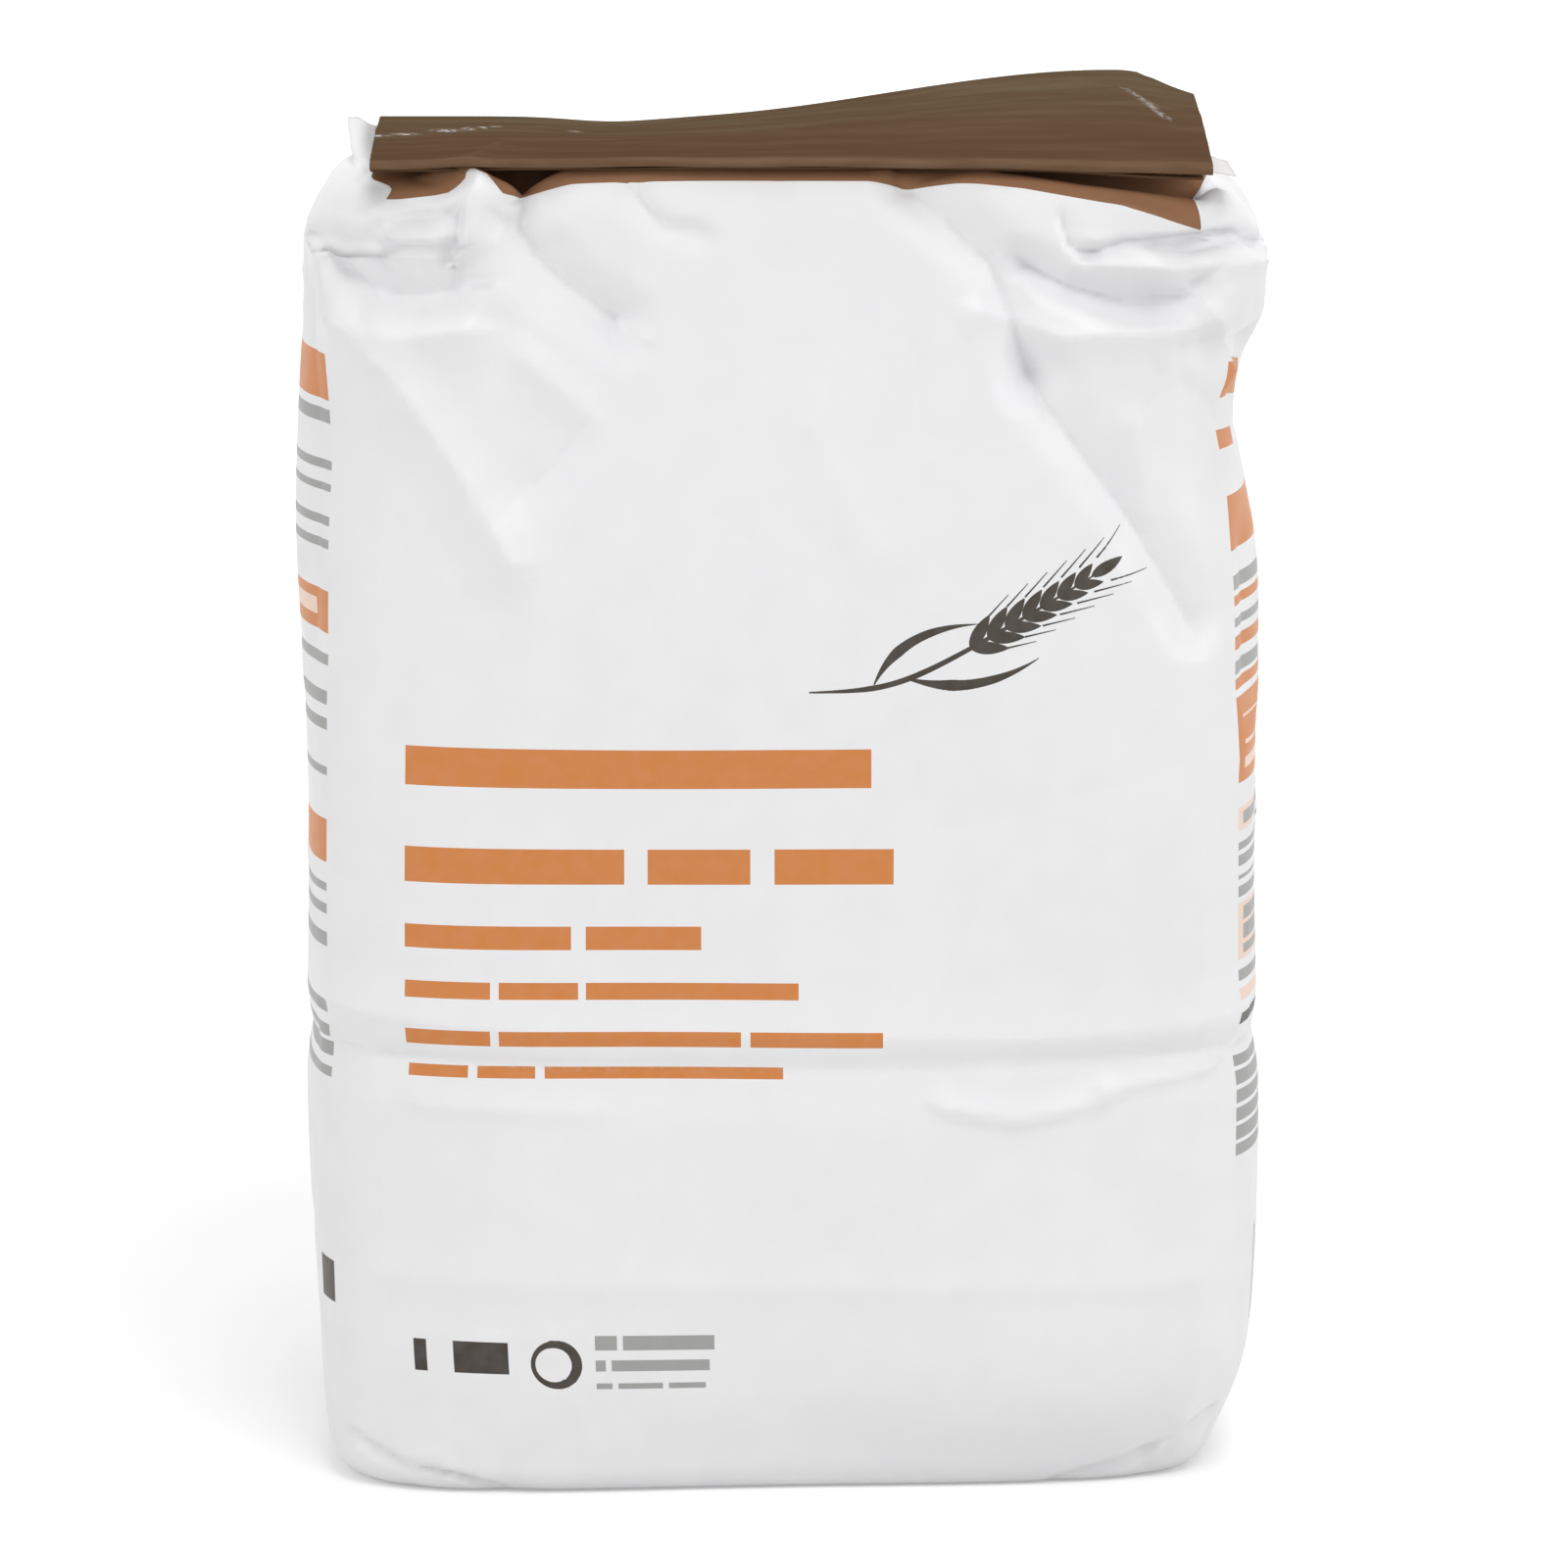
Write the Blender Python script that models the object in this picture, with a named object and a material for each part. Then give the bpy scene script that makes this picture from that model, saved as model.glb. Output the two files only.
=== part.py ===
"""A shut one-kilogram paper bag of flour, standing on its block bottom.

The bag is one solid: a soft four-sided body with full, rounded sides, a flat foot with tucked corners, and a
closure along the top, where the two broad panels are pressed together and folded forward into a flat fin.
Lengths are in metres, +Z is up, the broad front panel faces -Y and the origin is under the middle of the bag.
"""

import bmesh
import bpy
import numpy as np

MM = 0.001

# Body: sizes of the full middle, and the swellings on each side as (height, spread, how much wider).
LEFT_HALF_WIDTH = 56.3 * MM
RIGHT_HALF_WIDTH = 56.0 * MM
HALF_DEPTH = 38.0 * MM
LEFT_SWELLINGS = ((0.0, 34.0, -1.9), (0.0, 5.0, -0.7), (112.0, 14.0, 0.5), (147.0, 12.0, -1.0))
RIGHT_SWELLINGS = ((0.0, 34.0, -0.9), (0.0, 9.5, -4.4), (127.0, 13.0, -3.2), (141.0, 6.0, 0.9))
FOOT_NARROWING = 1.7 * MM
FOOT_REACH = 17.0 * MM
TOP_NARROWING = 2.6 * MM
TOP_NARROWING_START = 95.0 * MM
TOP_NARROWING_LENGTH = 60.0 * MM

# How square the outline is at the foot, the middle, the shoulder and the ridge.
FOOT_SQUARENESS = 5.4
FOOT_SQUARENESS_REACH = 30.0 * MM
BODY_SQUARENESS = 4.8
SHOULDER_SQUARENESS_GAIN = 1.2
SHOULDER_SQUARENESS_START = 120.0 * MM
SHOULDER_SQUARENESS_LENGTH = 28.0 * MM
ROLL_SQUARENESS = 6.0
RIDGE_SQUARENESS = 8.0

# Foot: its rounded edge, the flat share of it, and how far its front edge is set back, most on the right.
FOOT_RADIUS = 3.6 * MM
FOOT_FLAT = 0.55
FOOT_TUCK = 3.9 * MM
FOOT_TUCK_SKEW = 0.085
FOOT_TUCK_REACH = 9.0 * MM

# Top: where the walls start to roll over, and the ridge that the back panel is folded on.
SHOULDER_START = 148.0 * MM
SIDE_ROLL = 5.0 * MM
FRONT_ROLL = 4.0 * MM
ROLL_FULLNESS = 1.6
FRONT_FOLD_HEIGHT = 157.8 * MM
FRONT_FOLD_SAG = 2.0 * MM
FRONT_FOLD_SPAN = 42.0 * MM
RIDGE_LEFT = 49.0 * MM
RIDGE_RIGHT = 47.0 * MM
RIDGE_HALF_DEPTH = 1.2 * MM
RIDGE_SETBACK = 3.0 * MM
RIDGE_LOW = 158.3 * MM
RIDGE_LIFT = 5.7 * MM
RIDGE_LIFT_START = -14.0 * MM
RIDGE_LIFT_LENGTH = 52.0 * MM
RIDGE_COVER = 0.5 * MM
RIDGE_END_FALL = 1.4 * MM
RIDGE_END_START = 39.0 * MM
RIDGE_END_LENGTH = 9.0 * MM

# The back of the top, pulled down as the closure was drawn forward, and the right side with it.
BACK_DROP = 9.0 * MM
BACK_DROP_START = 106.0 * MM
RIGHT_SIDE_DROP = 6.0 * MM
RIGHT_SIDE_START = 42.0 * MM
RIGHT_SIDE_LENGTH = 9.0 * MM
RIGHT_SIDE_FRONT = -31.0 * MM
RIGHT_SIDE_REACH = 28.0 * MM

# Closure: the fin of folded paper that lies forward over the top.
FIN_LEFT = -48.8 * MM
FIN_RIGHT_AT_RIDGE = 48.0 * MM
FIN_RIGHT_AT_EDGE = 51.0 * MM
FIN_FRONT = -35.2 * MM
FIN_EDGE_HEIGHT = 159.0 * MM
FIN_EDGE_PEAK = -10.0 * MM
FIN_EDGE_SAG = 0.8 * MM
FIN_EDGE_SPAN = 60.0 * MM
FIN_CROWN = 0.5 * MM
FIN_UPPER_LAYER = 0.9 * MM
FIN_LOWER_LAYER = 0.8 * MM
FIN_LOWER_SETBACK = 1.8 * MM
FIN_CHAMFER = 4.0 * MM

# Fineness of the surface.
AROUND = 84
WALL_ROWS = 34
ROLL_ROWS = 5
TOP_ROWS = 6
FOOT_ROWS = 3
FIN_COLUMNS = 26
FIN_ROWS = 5

# Folds and dents pressed into the paper: ends of the crease as (distance round from the middle of the front,
# height), how far it stands out (or in, where negative) and how far it spreads to each side.
SHOULDER_FOLDS = (
    ((16, 157), (26, 143), -1.5, 7.0),
    ((26, 143), (47, 112), -1.5, 8.0),
    ((-33, 153), (-21, 140), -1.2, 6.0),
    ((-47, 136), (-32, 112), 1.0, 7.0),
    ((-53, 147), (-38, 149), -1.6, 5.0),
    ((-53, 140), (-38, 142), 0.9, 4.5),
    ((31, 146), (50, 146), -1.7, 4.0),
    ((31, 140), (50, 141), 0.9, 4.0),
)
WAIST_FOLDS = (
    ((-54, 56), (-44, 51), -0.8, 5.0),
    ((-44, 51), (52, 50), -1.1, 6.0),
    ((20, 45), (38, 47), 0.8, 4.0),
    ((-42, 46), (-23, 45), 0.5, 4.0),
)
FOOT_TUCKS = (
    ((-50, 2), (-38, 9), -1.4, 5.0),
    ((40, 9), (50, 2), -1.4, 5.0),
)
GUSSET_DENT = -1.6 * MM
GUSSET_SPREAD = 9.0 * MM
GUSSET_START = 100.0 * MM
GUSSET_LENGTH = 45.0 * MM
GUSSET_END = 157.0 * MM
GUSSET_FADE = 8.0 * MM
FOLDLESS_FOOT = 4.0 * MM

PAPER = (0.86, 0.86, 0.87, 1.0)


def ease(fraction):
    """Smooth step from 0 to 1."""
    clipped = np.clip(fraction, 0.0, 1.0)
    return clipped * clipped * (3.0 - 2.0 * clipped)


def swell(distance, spread):
    """A soft bump of height 1."""
    return np.exp(-((distance / spread) ** 2))


def swelling(height, swellings):
    """How much wider one side is at a height."""
    return sum(wider * MM * swell(height - at * MM, spread * MM) for at, spread, wider in swellings)


def half_sizes(height):
    """Left, right and depthwise half sizes of the body at a height."""
    left = LEFT_HALF_WIDTH + swelling(height, LEFT_SWELLINGS)
    right = RIGHT_HALF_WIDTH + swelling(height, RIGHT_SWELLINGS)
    depth = HALF_DEPTH - FOOT_NARROWING * swell(height, FOOT_REACH)
    depth -= TOP_NARROWING * ease((height - TOP_NARROWING_START) / TOP_NARROWING_LENGTH)
    return left, right, depth


def outline(left, right, depth, squareness, count):
    """Evenly spaced points round a soft-cornered outline, from the middle of the front towards +X."""
    turn = np.linspace(0.0, 2.0 * np.pi, 8 * count + 1)
    across = np.sin(turn)
    forward = np.cos(turn)
    half_width = np.where(across > 0.0, right, left)
    reach = (np.abs(across) / half_width) ** squareness + (np.abs(forward) / depth) ** squareness
    reach = reach ** (-1.0 / squareness)
    x = across * reach
    y = -forward * reach
    run = np.concatenate(([0.0], np.cumsum(np.hypot(np.diff(x), np.diff(y)))))
    even = np.linspace(0.0, run[-1], count, endpoint=False)
    return np.interp(even, run, x), np.interp(even, run, y), even, run[-1]


def front_fold_height(x):
    """Height of the edge where the broad panels turn over into the top."""
    return FRONT_FOLD_HEIGHT - FRONT_FOLD_SAG * (x / FRONT_FOLD_SPAN) ** 2


def ridge_height(x):
    """Height of the fold along the top: level on the left, lifted on the right, lower again at its right end."""
    lift = RIDGE_LIFT * ease((x - RIDGE_LIFT_START) / RIDGE_LIFT_LENGTH)
    return RIDGE_LOW + lift - RIDGE_END_FALL * ease((x - RIDGE_END_START) / RIDGE_END_LENGTH)


def settled(points):
    """Pull the back and the right side of the top down, and set the foot's front edge back."""
    behind = np.clip((points[..., 1] + RIDGE_SETBACK) / (HALF_DEPTH - RIDGE_SETBACK), 0.0, 1.2)
    side = ease((points[..., 0] - RIGHT_SIDE_START) / RIGHT_SIDE_LENGTH)
    side = side * ease((points[..., 1] - RIGHT_SIDE_FRONT) / RIGHT_SIDE_REACH)
    reach = ease((points[..., 2] - BACK_DROP_START) / (FRONT_FOLD_HEIGHT - BACK_DROP_START))
    points[..., 2] -= np.maximum(BACK_DROP * behind**1.5, RIGHT_SIDE_DROP * side) * reach
    tuck = np.clip(FOOT_TUCK + FOOT_TUCK_SKEW * points[..., 0], 0.0, None)
    forward = np.clip(-points[..., 1] / HALF_DEPTH, 0.0, 1.0) ** 2
    points[..., 1] += tuck * forward * swell(points[..., 2], FOOT_TUCK_REACH)
    return points


def body_rows():
    """Rows of the body from the foot to the ridge, each as x, y, z and the distance round from the front."""
    rows = []

    def add_row(left, right, depth, squareness, height_of, shift=0.0):
        x, y, run, whole = outline(left, right, depth, squareness, AROUND)
        signed_run = np.where(run > whole / 2.0, run - whole, run)
        rows.append((x, y + shift, height_of(x, y), signed_run))

    def level(height):
        return lambda x, y: np.full_like(x, height)

    for step in range(FOOT_ROWS):
        shrink = FOOT_FLAT + (1.0 - FOOT_FLAT) * step / (FOOT_ROWS + 0.1)
        left, right, depth = half_sizes(0.0)
        inner = (left - FOOT_RADIUS, right - FOOT_RADIUS, depth - FOOT_RADIUS)
        add_row(*(shrink * size for size in inner), FOOT_SQUARENESS, level(0.0))
    for step in range(ROLL_ROWS):
        angle = 0.5 * np.pi * step / ROLL_ROWS
        inset = FOOT_RADIUS * (1.0 - np.sin(angle))
        height = FOOT_RADIUS * (1.0 - np.cos(angle))
        sizes = (size - inset for size in half_sizes(height))
        add_row(*sizes, FOOT_SQUARENESS, level(height))
    for step in range(WALL_ROWS + 1):
        height = FOOT_RADIUS + (SHOULDER_START - FOOT_RADIUS) * step / WALL_ROWS
        squareness = BODY_SQUARENESS
        squareness += (FOOT_SQUARENESS - BODY_SQUARENESS) * swell(height, FOOT_SQUARENESS_REACH)
        shoulder = ease((height - SHOULDER_SQUARENESS_START) / SHOULDER_SQUARENESS_LENGTH)
        squareness += SHOULDER_SQUARENESS_GAIN * shoulder
        add_row(*half_sizes(height), squareness, level(height))
    left, right, depth = half_sizes(SHOULDER_START)
    for step in range(1, ROLL_ROWS + 1):
        angle = 0.5 * np.pi * step / ROLL_ROWS
        rise = np.sin(angle)
        side_inset = SIDE_ROLL * (1.0 - np.cos(angle))
        front_inset = FRONT_ROLL * (1.0 - np.cos(angle)) ** ROLL_FULLNESS

        def rolled(x, y, rise=rise):
            return SHOULDER_START + (front_fold_height(x) - SHOULDER_START) * rise

        add_row(left - side_inset, right - side_inset, depth - front_inset, ROLL_SQUARENESS, rolled)
    inner = (left - SIDE_ROLL, right - SIDE_ROLL, depth - FRONT_ROLL)
    for step in range(1, TOP_ROWS + 1):
        share = step / TOP_ROWS
        sizes = (
            inner[0] + (RIDGE_LEFT - inner[0]) * share,
            inner[1] + (RIDGE_RIGHT - inner[1]) * share,
            inner[2] + (RIDGE_HALF_DEPTH - inner[2]) * share,
        )

        def sloped(x, y, share=share):
            edge = front_fold_height(x)
            return edge + (ridge_height(x) - RIDGE_COVER - edge) * share

        squareness = ROLL_SQUARENESS + (RIDGE_SQUARENESS - ROLL_SQUARENESS) * share
        add_row(*sizes, squareness, sloped, -RIDGE_SETBACK * share)
    return rows


def crease(run, height, fold):
    """How far a fold moves the paper: a straight-sided groove or ridge that fades at its ends."""
    start, end, stand, spread = fold
    start = np.array(start) * MM
    end = np.array(end) * MM
    line = end - start
    length = np.hypot(*line)
    share = ((run - start[0]) * line[0] + (height - start[1]) * line[1]) / length**2
    aside = np.abs((run - start[0]) * line[1] - (height - start[1]) * line[0]) / length
    overshoot = np.maximum(np.maximum(-share, share - 1.0), 0.0) * length
    away = np.hypot(aside, overshoot)
    return stand * MM * np.maximum(1.0 - away / (spread * MM), 0.0)


def pressed(points, run):
    """Move the body's points along their normals by every fold and dent."""
    around = np.roll(points, -1, axis=1) - np.roll(points, 1, axis=1)
    upward = np.gradient(points, axis=0)
    normal = np.cross(around, upward)
    normal /= np.maximum(np.linalg.norm(normal, axis=2, keepdims=True), 1e-9)
    height = points[:, :, 2]
    move = np.zeros_like(height)
    for fold in SHOULDER_FOLDS + WAIST_FOLDS + FOOT_TUCKS:
        move += crease(run, height, fold)
    half_round = np.abs(run).max(axis=1, keepdims=True)
    from_side_middle = np.abs(run) - half_round / 2.0
    tuck = ease((height - GUSSET_START) / GUSSET_LENGTH) * ease((GUSSET_END - height) / GUSSET_FADE)
    move += GUSSET_DENT * swell(from_side_middle, GUSSET_SPREAD) * tuck
    move *= ease(height / FOLDLESS_FOOT)
    return points + normal * move[:, :, None]


def body_mesh():
    """The body as a closed mesh."""
    rows = body_rows()
    points = np.array([np.stack(row[:3], axis=1) for row in rows])
    run = np.array([row[3] for row in rows])
    points = pressed(settled(points), run)
    mesh = bmesh.new()
    grid = [[mesh.verts.new(point) for point in row] for row in points]
    for lower, upper in zip(grid, grid[1:]):
        for here in range(AROUND):
            there = (here + 1) % AROUND
            mesh.faces.new((lower[here], lower[there], upper[there], upper[here]))
    for ring, faces_down in ((grid[0], True), (grid[-1], False)):
        half = AROUND // 2
        for step in range(half):
            corners = [ring[step], ring[(step + 1) % AROUND]]
            corners += [ring[(half + half - step - 1) % AROUND], ring[(half + half - step) % AROUND]]
            corners = list(dict.fromkeys(corners))
            mesh.faces.new(corners[::-1] if faces_down else corners)
    return mesh


def fin_profile(x, slide):
    """Corners of the fin's cross-section at x, from the ridge along the top to the edge and back below."""
    ridge = ridge_height(x)
    edge = FIN_EDGE_HEIGHT - FIN_EDGE_SAG * ((x - FIN_EDGE_PEAK) / FIN_EDGE_SPAN) ** 2
    back = -RIDGE_SETBACK
    corners = []
    for row in range(FIN_ROWS + 1):
        share = row / FIN_ROWS
        crown = FIN_CROWN * np.sin(np.pi * share)
        corners.append((back + (FIN_FRONT - back) * share, ridge + (edge - ridge) * share + crown))
    corners.append((FIN_FRONT, edge - FIN_UPPER_LAYER))
    corners.append((FIN_FRONT + FIN_LOWER_SETBACK, edge - FIN_UPPER_LAYER))
    corners.append((FIN_FRONT + FIN_LOWER_SETBACK, edge - FIN_UPPER_LAYER - FIN_LOWER_LAYER))
    corners.append((back, ridge - FIN_UPPER_LAYER - FIN_LOWER_LAYER))
    return [(x + slide * (back - y) / (back - FIN_FRONT), y, z) for y, z in corners]


def fin_mesh():
    """The folded fin as a closed mesh that sinks into the top of the body."""
    mesh = bmesh.new()
    sections = []
    for column in range(FIN_COLUMNS + 1):
        share = column / FIN_COLUMNS
        x = FIN_LEFT + (FIN_RIGHT_AT_RIDGE - FIN_LEFT) * share
        slide = (FIN_RIGHT_AT_EDGE - FIN_RIGHT_AT_RIDGE) * share
        section = fin_profile(x, slide)
        if column == FIN_COLUMNS:
            section[0] = (x - FIN_CHAMFER, section[0][1], section[0][2])
        sections.append([mesh.verts.new(corner) for corner in section])
    corners = len(sections[0])
    for left, right in zip(sections, sections[1:]):
        for here in range(corners):
            there = (here + 1) % corners
            mesh.faces.new((left[here], left[there], right[there], right[here]))
    mesh.faces.new(sections[0][::-1])
    mesh.faces.new(sections[-1])
    return mesh


def paper_material():
    """Smooth white coated paper."""
    material = bpy.data.materials.new("white_paper")
    material.use_nodes = True
    shader = material.node_tree.nodes["Principled BSDF"]
    shader.inputs["Base Color"].default_value = PAPER
    shader.inputs["Roughness"].default_value = 0.45
    shader.inputs["Metallic"].default_value = 0.0
    return material


def add_object(name, mesh_builder, material):
    """Turn a bmesh into an object of the scene."""
    bmesh.ops.recalc_face_normals(mesh_builder, faces=mesh_builder.faces)
    bmesh.ops.triangulate(mesh_builder, faces=mesh_builder.faces)
    mesh = bpy.data.meshes.new(name)
    mesh_builder.to_mesh(mesh)
    mesh_builder.free()
    mesh.materials.append(material)
    mesh.shade_smooth()
    thing = bpy.data.objects.new(name, mesh)
    bpy.context.scene.collection.objects.link(thing)
    return thing


def centre_over_origin(things):
    """Move the meshes together so that the bag's box stands centred over the origin."""
    corners = np.array([vertex.co for thing in things for vertex in thing.data.vertices])
    low = corners.min(axis=0)
    high = corners.max(axis=0)
    middle = (low + high) / 2.0
    for thing in things:
        for vertex in thing.data.vertices:
            vertex.co.x -= middle[0]
            vertex.co.y -= middle[1]
            vertex.co.z -= low[2]


def build():
    """Make the bag."""
    for thing in list(bpy.data.objects):
        bpy.data.objects.remove(thing, do_unlink=True)
    paper = paper_material()
    bag = add_object("flour_bag", body_mesh(), paper)
    fin = add_object("closure_fin_guide", fin_mesh(), paper)
    centre_over_origin([bag, fin])
    fin.hide_render = True
    fin.display_type = "WIRE"
    join = bag.modifiers.new("closure", "BOOLEAN")
    join.operation = "UNION"
    join.solver = "EXACT"
    join.object = fin


build()
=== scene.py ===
import math

import bpy
import numpy as np
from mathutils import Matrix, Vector


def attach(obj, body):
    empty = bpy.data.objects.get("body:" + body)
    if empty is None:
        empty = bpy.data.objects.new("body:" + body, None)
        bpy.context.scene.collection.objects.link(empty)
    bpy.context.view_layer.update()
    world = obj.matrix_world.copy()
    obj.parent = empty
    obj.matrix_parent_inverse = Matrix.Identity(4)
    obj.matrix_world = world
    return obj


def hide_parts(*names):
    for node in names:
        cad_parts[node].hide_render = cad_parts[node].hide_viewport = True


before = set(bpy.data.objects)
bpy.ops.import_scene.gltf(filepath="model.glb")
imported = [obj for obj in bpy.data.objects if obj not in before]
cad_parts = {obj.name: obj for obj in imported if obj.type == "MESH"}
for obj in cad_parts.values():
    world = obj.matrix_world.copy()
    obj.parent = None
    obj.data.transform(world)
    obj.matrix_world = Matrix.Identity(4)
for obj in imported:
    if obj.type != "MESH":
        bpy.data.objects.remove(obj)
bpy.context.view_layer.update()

# Looks of a shut paper bag of flour: the white sack with its pressed folds, the brown closure folded over
# the top, the pasted flaps under the foot and the print. Shapes are worked out in millimetres. A place on
# the paper is (run, rise): the distance round from the middle of the front, and the distance up the wall.
MM = 0.001

# The body, close to the solid model.
LEFT_HALF_WIDTH = 56.3
RIGHT_HALF_WIDTH = 56.0
HALF_DEPTH = 38.0
# Where each side stands out or in, as (by how much, at which height, over what reach).
LEFT_SWELLINGS = ((-1.9, 0.0, 34.0), (-0.7, 0.0, 5.0), (0.5, 112.0, 14.0), (-1.0, 147.0, 12.0))
RIGHT_SWELLINGS = ((-0.9, 0.0, 34.0), (-4.4, 0.0, 9.5), (-3.2, 127.0, 13.0), (0.9, 141.0, 6.0))
FOOT_NARROWING = 2.4
FOOT_REACH = 17.0
TOP_NARROWING = 2.6
TOP_NARROWING_START = 95.0
TOP_NARROWING_REACH = 60.0
FOOT_TUCK = 3.9
FOOT_TUCK_SKEW = 0.085
FOOT_TUCK_REACH = 9.0
BODY_SQUARENESS = 4.8
FOOT_SQUARENESS = 5.4
FOOT_RADIUS = 3.6
FOOT_LIFT = 0.3
SHOULDER_START = 148.0
SIDE_ROLL = 5.0
FRONT_ROLL = 4.0
FRONT_FOLD_HEIGHT = 158.1
FRONT_FOLD_SAG = 2.0
FRONT_FOLD_SPAN = 42.0
RIDGE_LEFT = 51.0
RIDGE_RIGHT = 47.5
RIDGE_HALF_DEPTH = 1.2
RIDGE_SETBACK = 3.0
RIDGE_LOW = 158.8
RIDGE_LIFT = 5.5
RIDGE_LIFT_START = -14.0
RIDGE_LIFT_LENGTH = 52.0
RIDGE_DIP = 0.6
RIDGE_DIP_PLACE = -20.0
RIDGE_END_FALL = 1.4
RIDGE_END_FALL_START = 39.0
BACK_DROP = 9.0
RIGHT_SIDE_DROP = 6.0
BACK_DROP_START = 106.0
GIRTH = 338.0
PANEL_EDGES = (-47.9, 49.7)
SIDE_MIDDLE = GIRTH / 4.0
FINE_HALF_WIDTH = 60.0

# The closure: its plan, the height of its front edge, how its layers open towards the right, its sheet and
# the height of the layers that it is folded over.
FIN_LEFT = -47.5
FIN_RIGHT_AT_RIDGE = 47.6
FIN_RIGHT_AT_EDGE = 49.4
FIN_CHAMFER = 6.2
FIN_CHAMFER_SHARE = 0.17
FIN_FRONT = -35.2
FIN_EDGE_HEIGHT = 158.9
FIN_EDGE_SAG = 0.8
FIN_EDGE_PEAK = -10.0
FIN_EDGE_SPAN = 60.0
FIN_CROWN = 0.45
FIN_OPENING = 0.55
FIN_OPENING_START = 18.0
FIN_OPENING_LENGTH = 30.0
SHEET_THICKNESS = 0.32
STACK_HEIGHT = 1.7
FIN_DEPTH = -RIDGE_SETBACK - FIN_FRONT


def ease(fraction):
    """Smooth step from 0 to 1."""
    clipped = np.clip(fraction, 0.0, 1.0)
    return clipped * clipped * (3.0 - 2.0 * clipped)


def swell(distance, spread):
    """A soft bump of height 1."""
    return np.exp(-((distance / spread) ** 2))


# ---- the sack's surface


def swollen(half_width, swellings, height):
    """A half width with its swellings and hollows at a height."""
    for stand, middle, reach in swellings:
        half_width = half_width + stand * swell(height - middle, reach)
    return half_width


def half_sizes(height):
    """Left, right and depthwise half sizes of the body at a height."""
    left = swollen(LEFT_HALF_WIDTH, LEFT_SWELLINGS, height)
    right = swollen(RIGHT_HALF_WIDTH, RIGHT_SWELLINGS, height)
    depth = HALF_DEPTH - FOOT_NARROWING * swell(height, FOOT_REACH)
    depth = depth - TOP_NARROWING * ease((height - TOP_NARROWING_START) / TOP_NARROWING_REACH)
    return left, right, depth


def outline(sizes, squareness, columns):
    """Where the columns fall on a soft-cornered outline of given left, right and depthwise half sizes."""
    left, right, depth = sizes
    turn = np.linspace(0.0, 2.0 * np.pi, 2401)
    across = np.sin(turn)
    forward = np.cos(turn)
    half_width = np.where(across > 0.0, right, left)
    reach = (np.abs(across) / half_width) ** squareness + (np.abs(forward) / depth) ** squareness
    reach = reach ** (-1.0 / squareness)
    x = across * reach
    y = -forward * reach
    run = np.concatenate(([0.0], np.cumsum(np.hypot(np.diff(x), np.diff(y)))))
    place = columns / GIRTH * run[-1]
    return np.interp(place, run, x), np.interp(place, run, y)


def row_of_points(x, y, z):
    """One row of the sack's grid."""
    return np.stack((x, y, np.broadcast_to(z, x.shape)), axis=1)


def front_fold_height(x):
    """Height of the edge where the broad panels turn over into the top."""
    return FRONT_FOLD_HEIGHT - FRONT_FOLD_SAG * (x / FRONT_FOLD_SPAN) ** 2


def ridge_height(x):
    """Height of the fold along the top: level on the left, lifted on the right."""
    lift = RIDGE_LIFT * ease((x - RIDGE_LIFT_START) / RIDGE_LIFT_LENGTH)
    dip = RIDGE_DIP * swell(x - RIDGE_DIP_PLACE, 7.0)
    return RIDGE_LOW + lift - dip - RIDGE_END_FALL * ease((x - RIDGE_END_FALL_START) / 9.0)


def lowered_at_back(points):
    """Pull the back of the top down behind the ridge, as the closure was drawn forward."""
    behind = np.clip((points[..., 1] + RIDGE_SETBACK) / (HALF_DEPTH - RIDGE_SETBACK), 0.0, 1.2)
    reach = ease((points[..., 2] - BACK_DROP_START) / (FRONT_FOLD_HEIGHT - BACK_DROP_START))
    side = ease((points[..., 0] - 42.0) / 9.0) * ease((points[..., 1] + 31.0) / 28.0)
    points[..., 2] -= np.maximum(BACK_DROP * behind, RIGHT_SIDE_DROP * side) * reach
    return points


def tucked_foot(points):
    """Set the foot's front edge back, most on the right."""
    tuck = np.clip(FOOT_TUCK + FOOT_TUCK_SKEW * points[..., 0], 0.0, None)
    forward = np.clip(-points[..., 1] / HALF_DEPTH, 0.0, 1.0) ** 2
    points[..., 1] += tuck * forward * swell(points[..., 2], FOOT_TUCK_REACH)
    return points


def with_edges(spaced, edges, clear, closest):
    """Grid lines that fall exactly on every edge of the print, and are evenly spaced elsewhere."""
    kept = []
    for edge in sorted(set(edges)):
        if not kept or edge - kept[-1] > closest:
            kept.append(edge)
    kept = np.array(kept)
    far = np.array([line for line in spaced if np.abs(kept - line).min() > clear])
    return np.sort(np.concatenate((far, kept)))


def sack_columns(print_edges):
    """Runs of the sack's grid lines, closest on the broad front."""
    half = GIRTH / 2.0
    fine = FINE_HALF_WIDTH
    stretches = ((-fine, fine, 0.6), (fine, half - 50.0, 0.9), (half - 50.0, half + 50.0, 0.9))
    stretches += ((half + 50.0, GIRTH - fine, 0.9),)
    spaced = np.concatenate([np.arange(*stretch) for stretch in stretches])
    spaced = np.where(spaced < 0.0, spaced + GIRTH, spaced)
    edges = [edge % GIRTH for edge in print_edges]
    lines = with_edges(spaced, edges, 0.32, 0.2)
    return lines[lines < GIRTH - 0.3]


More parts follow.
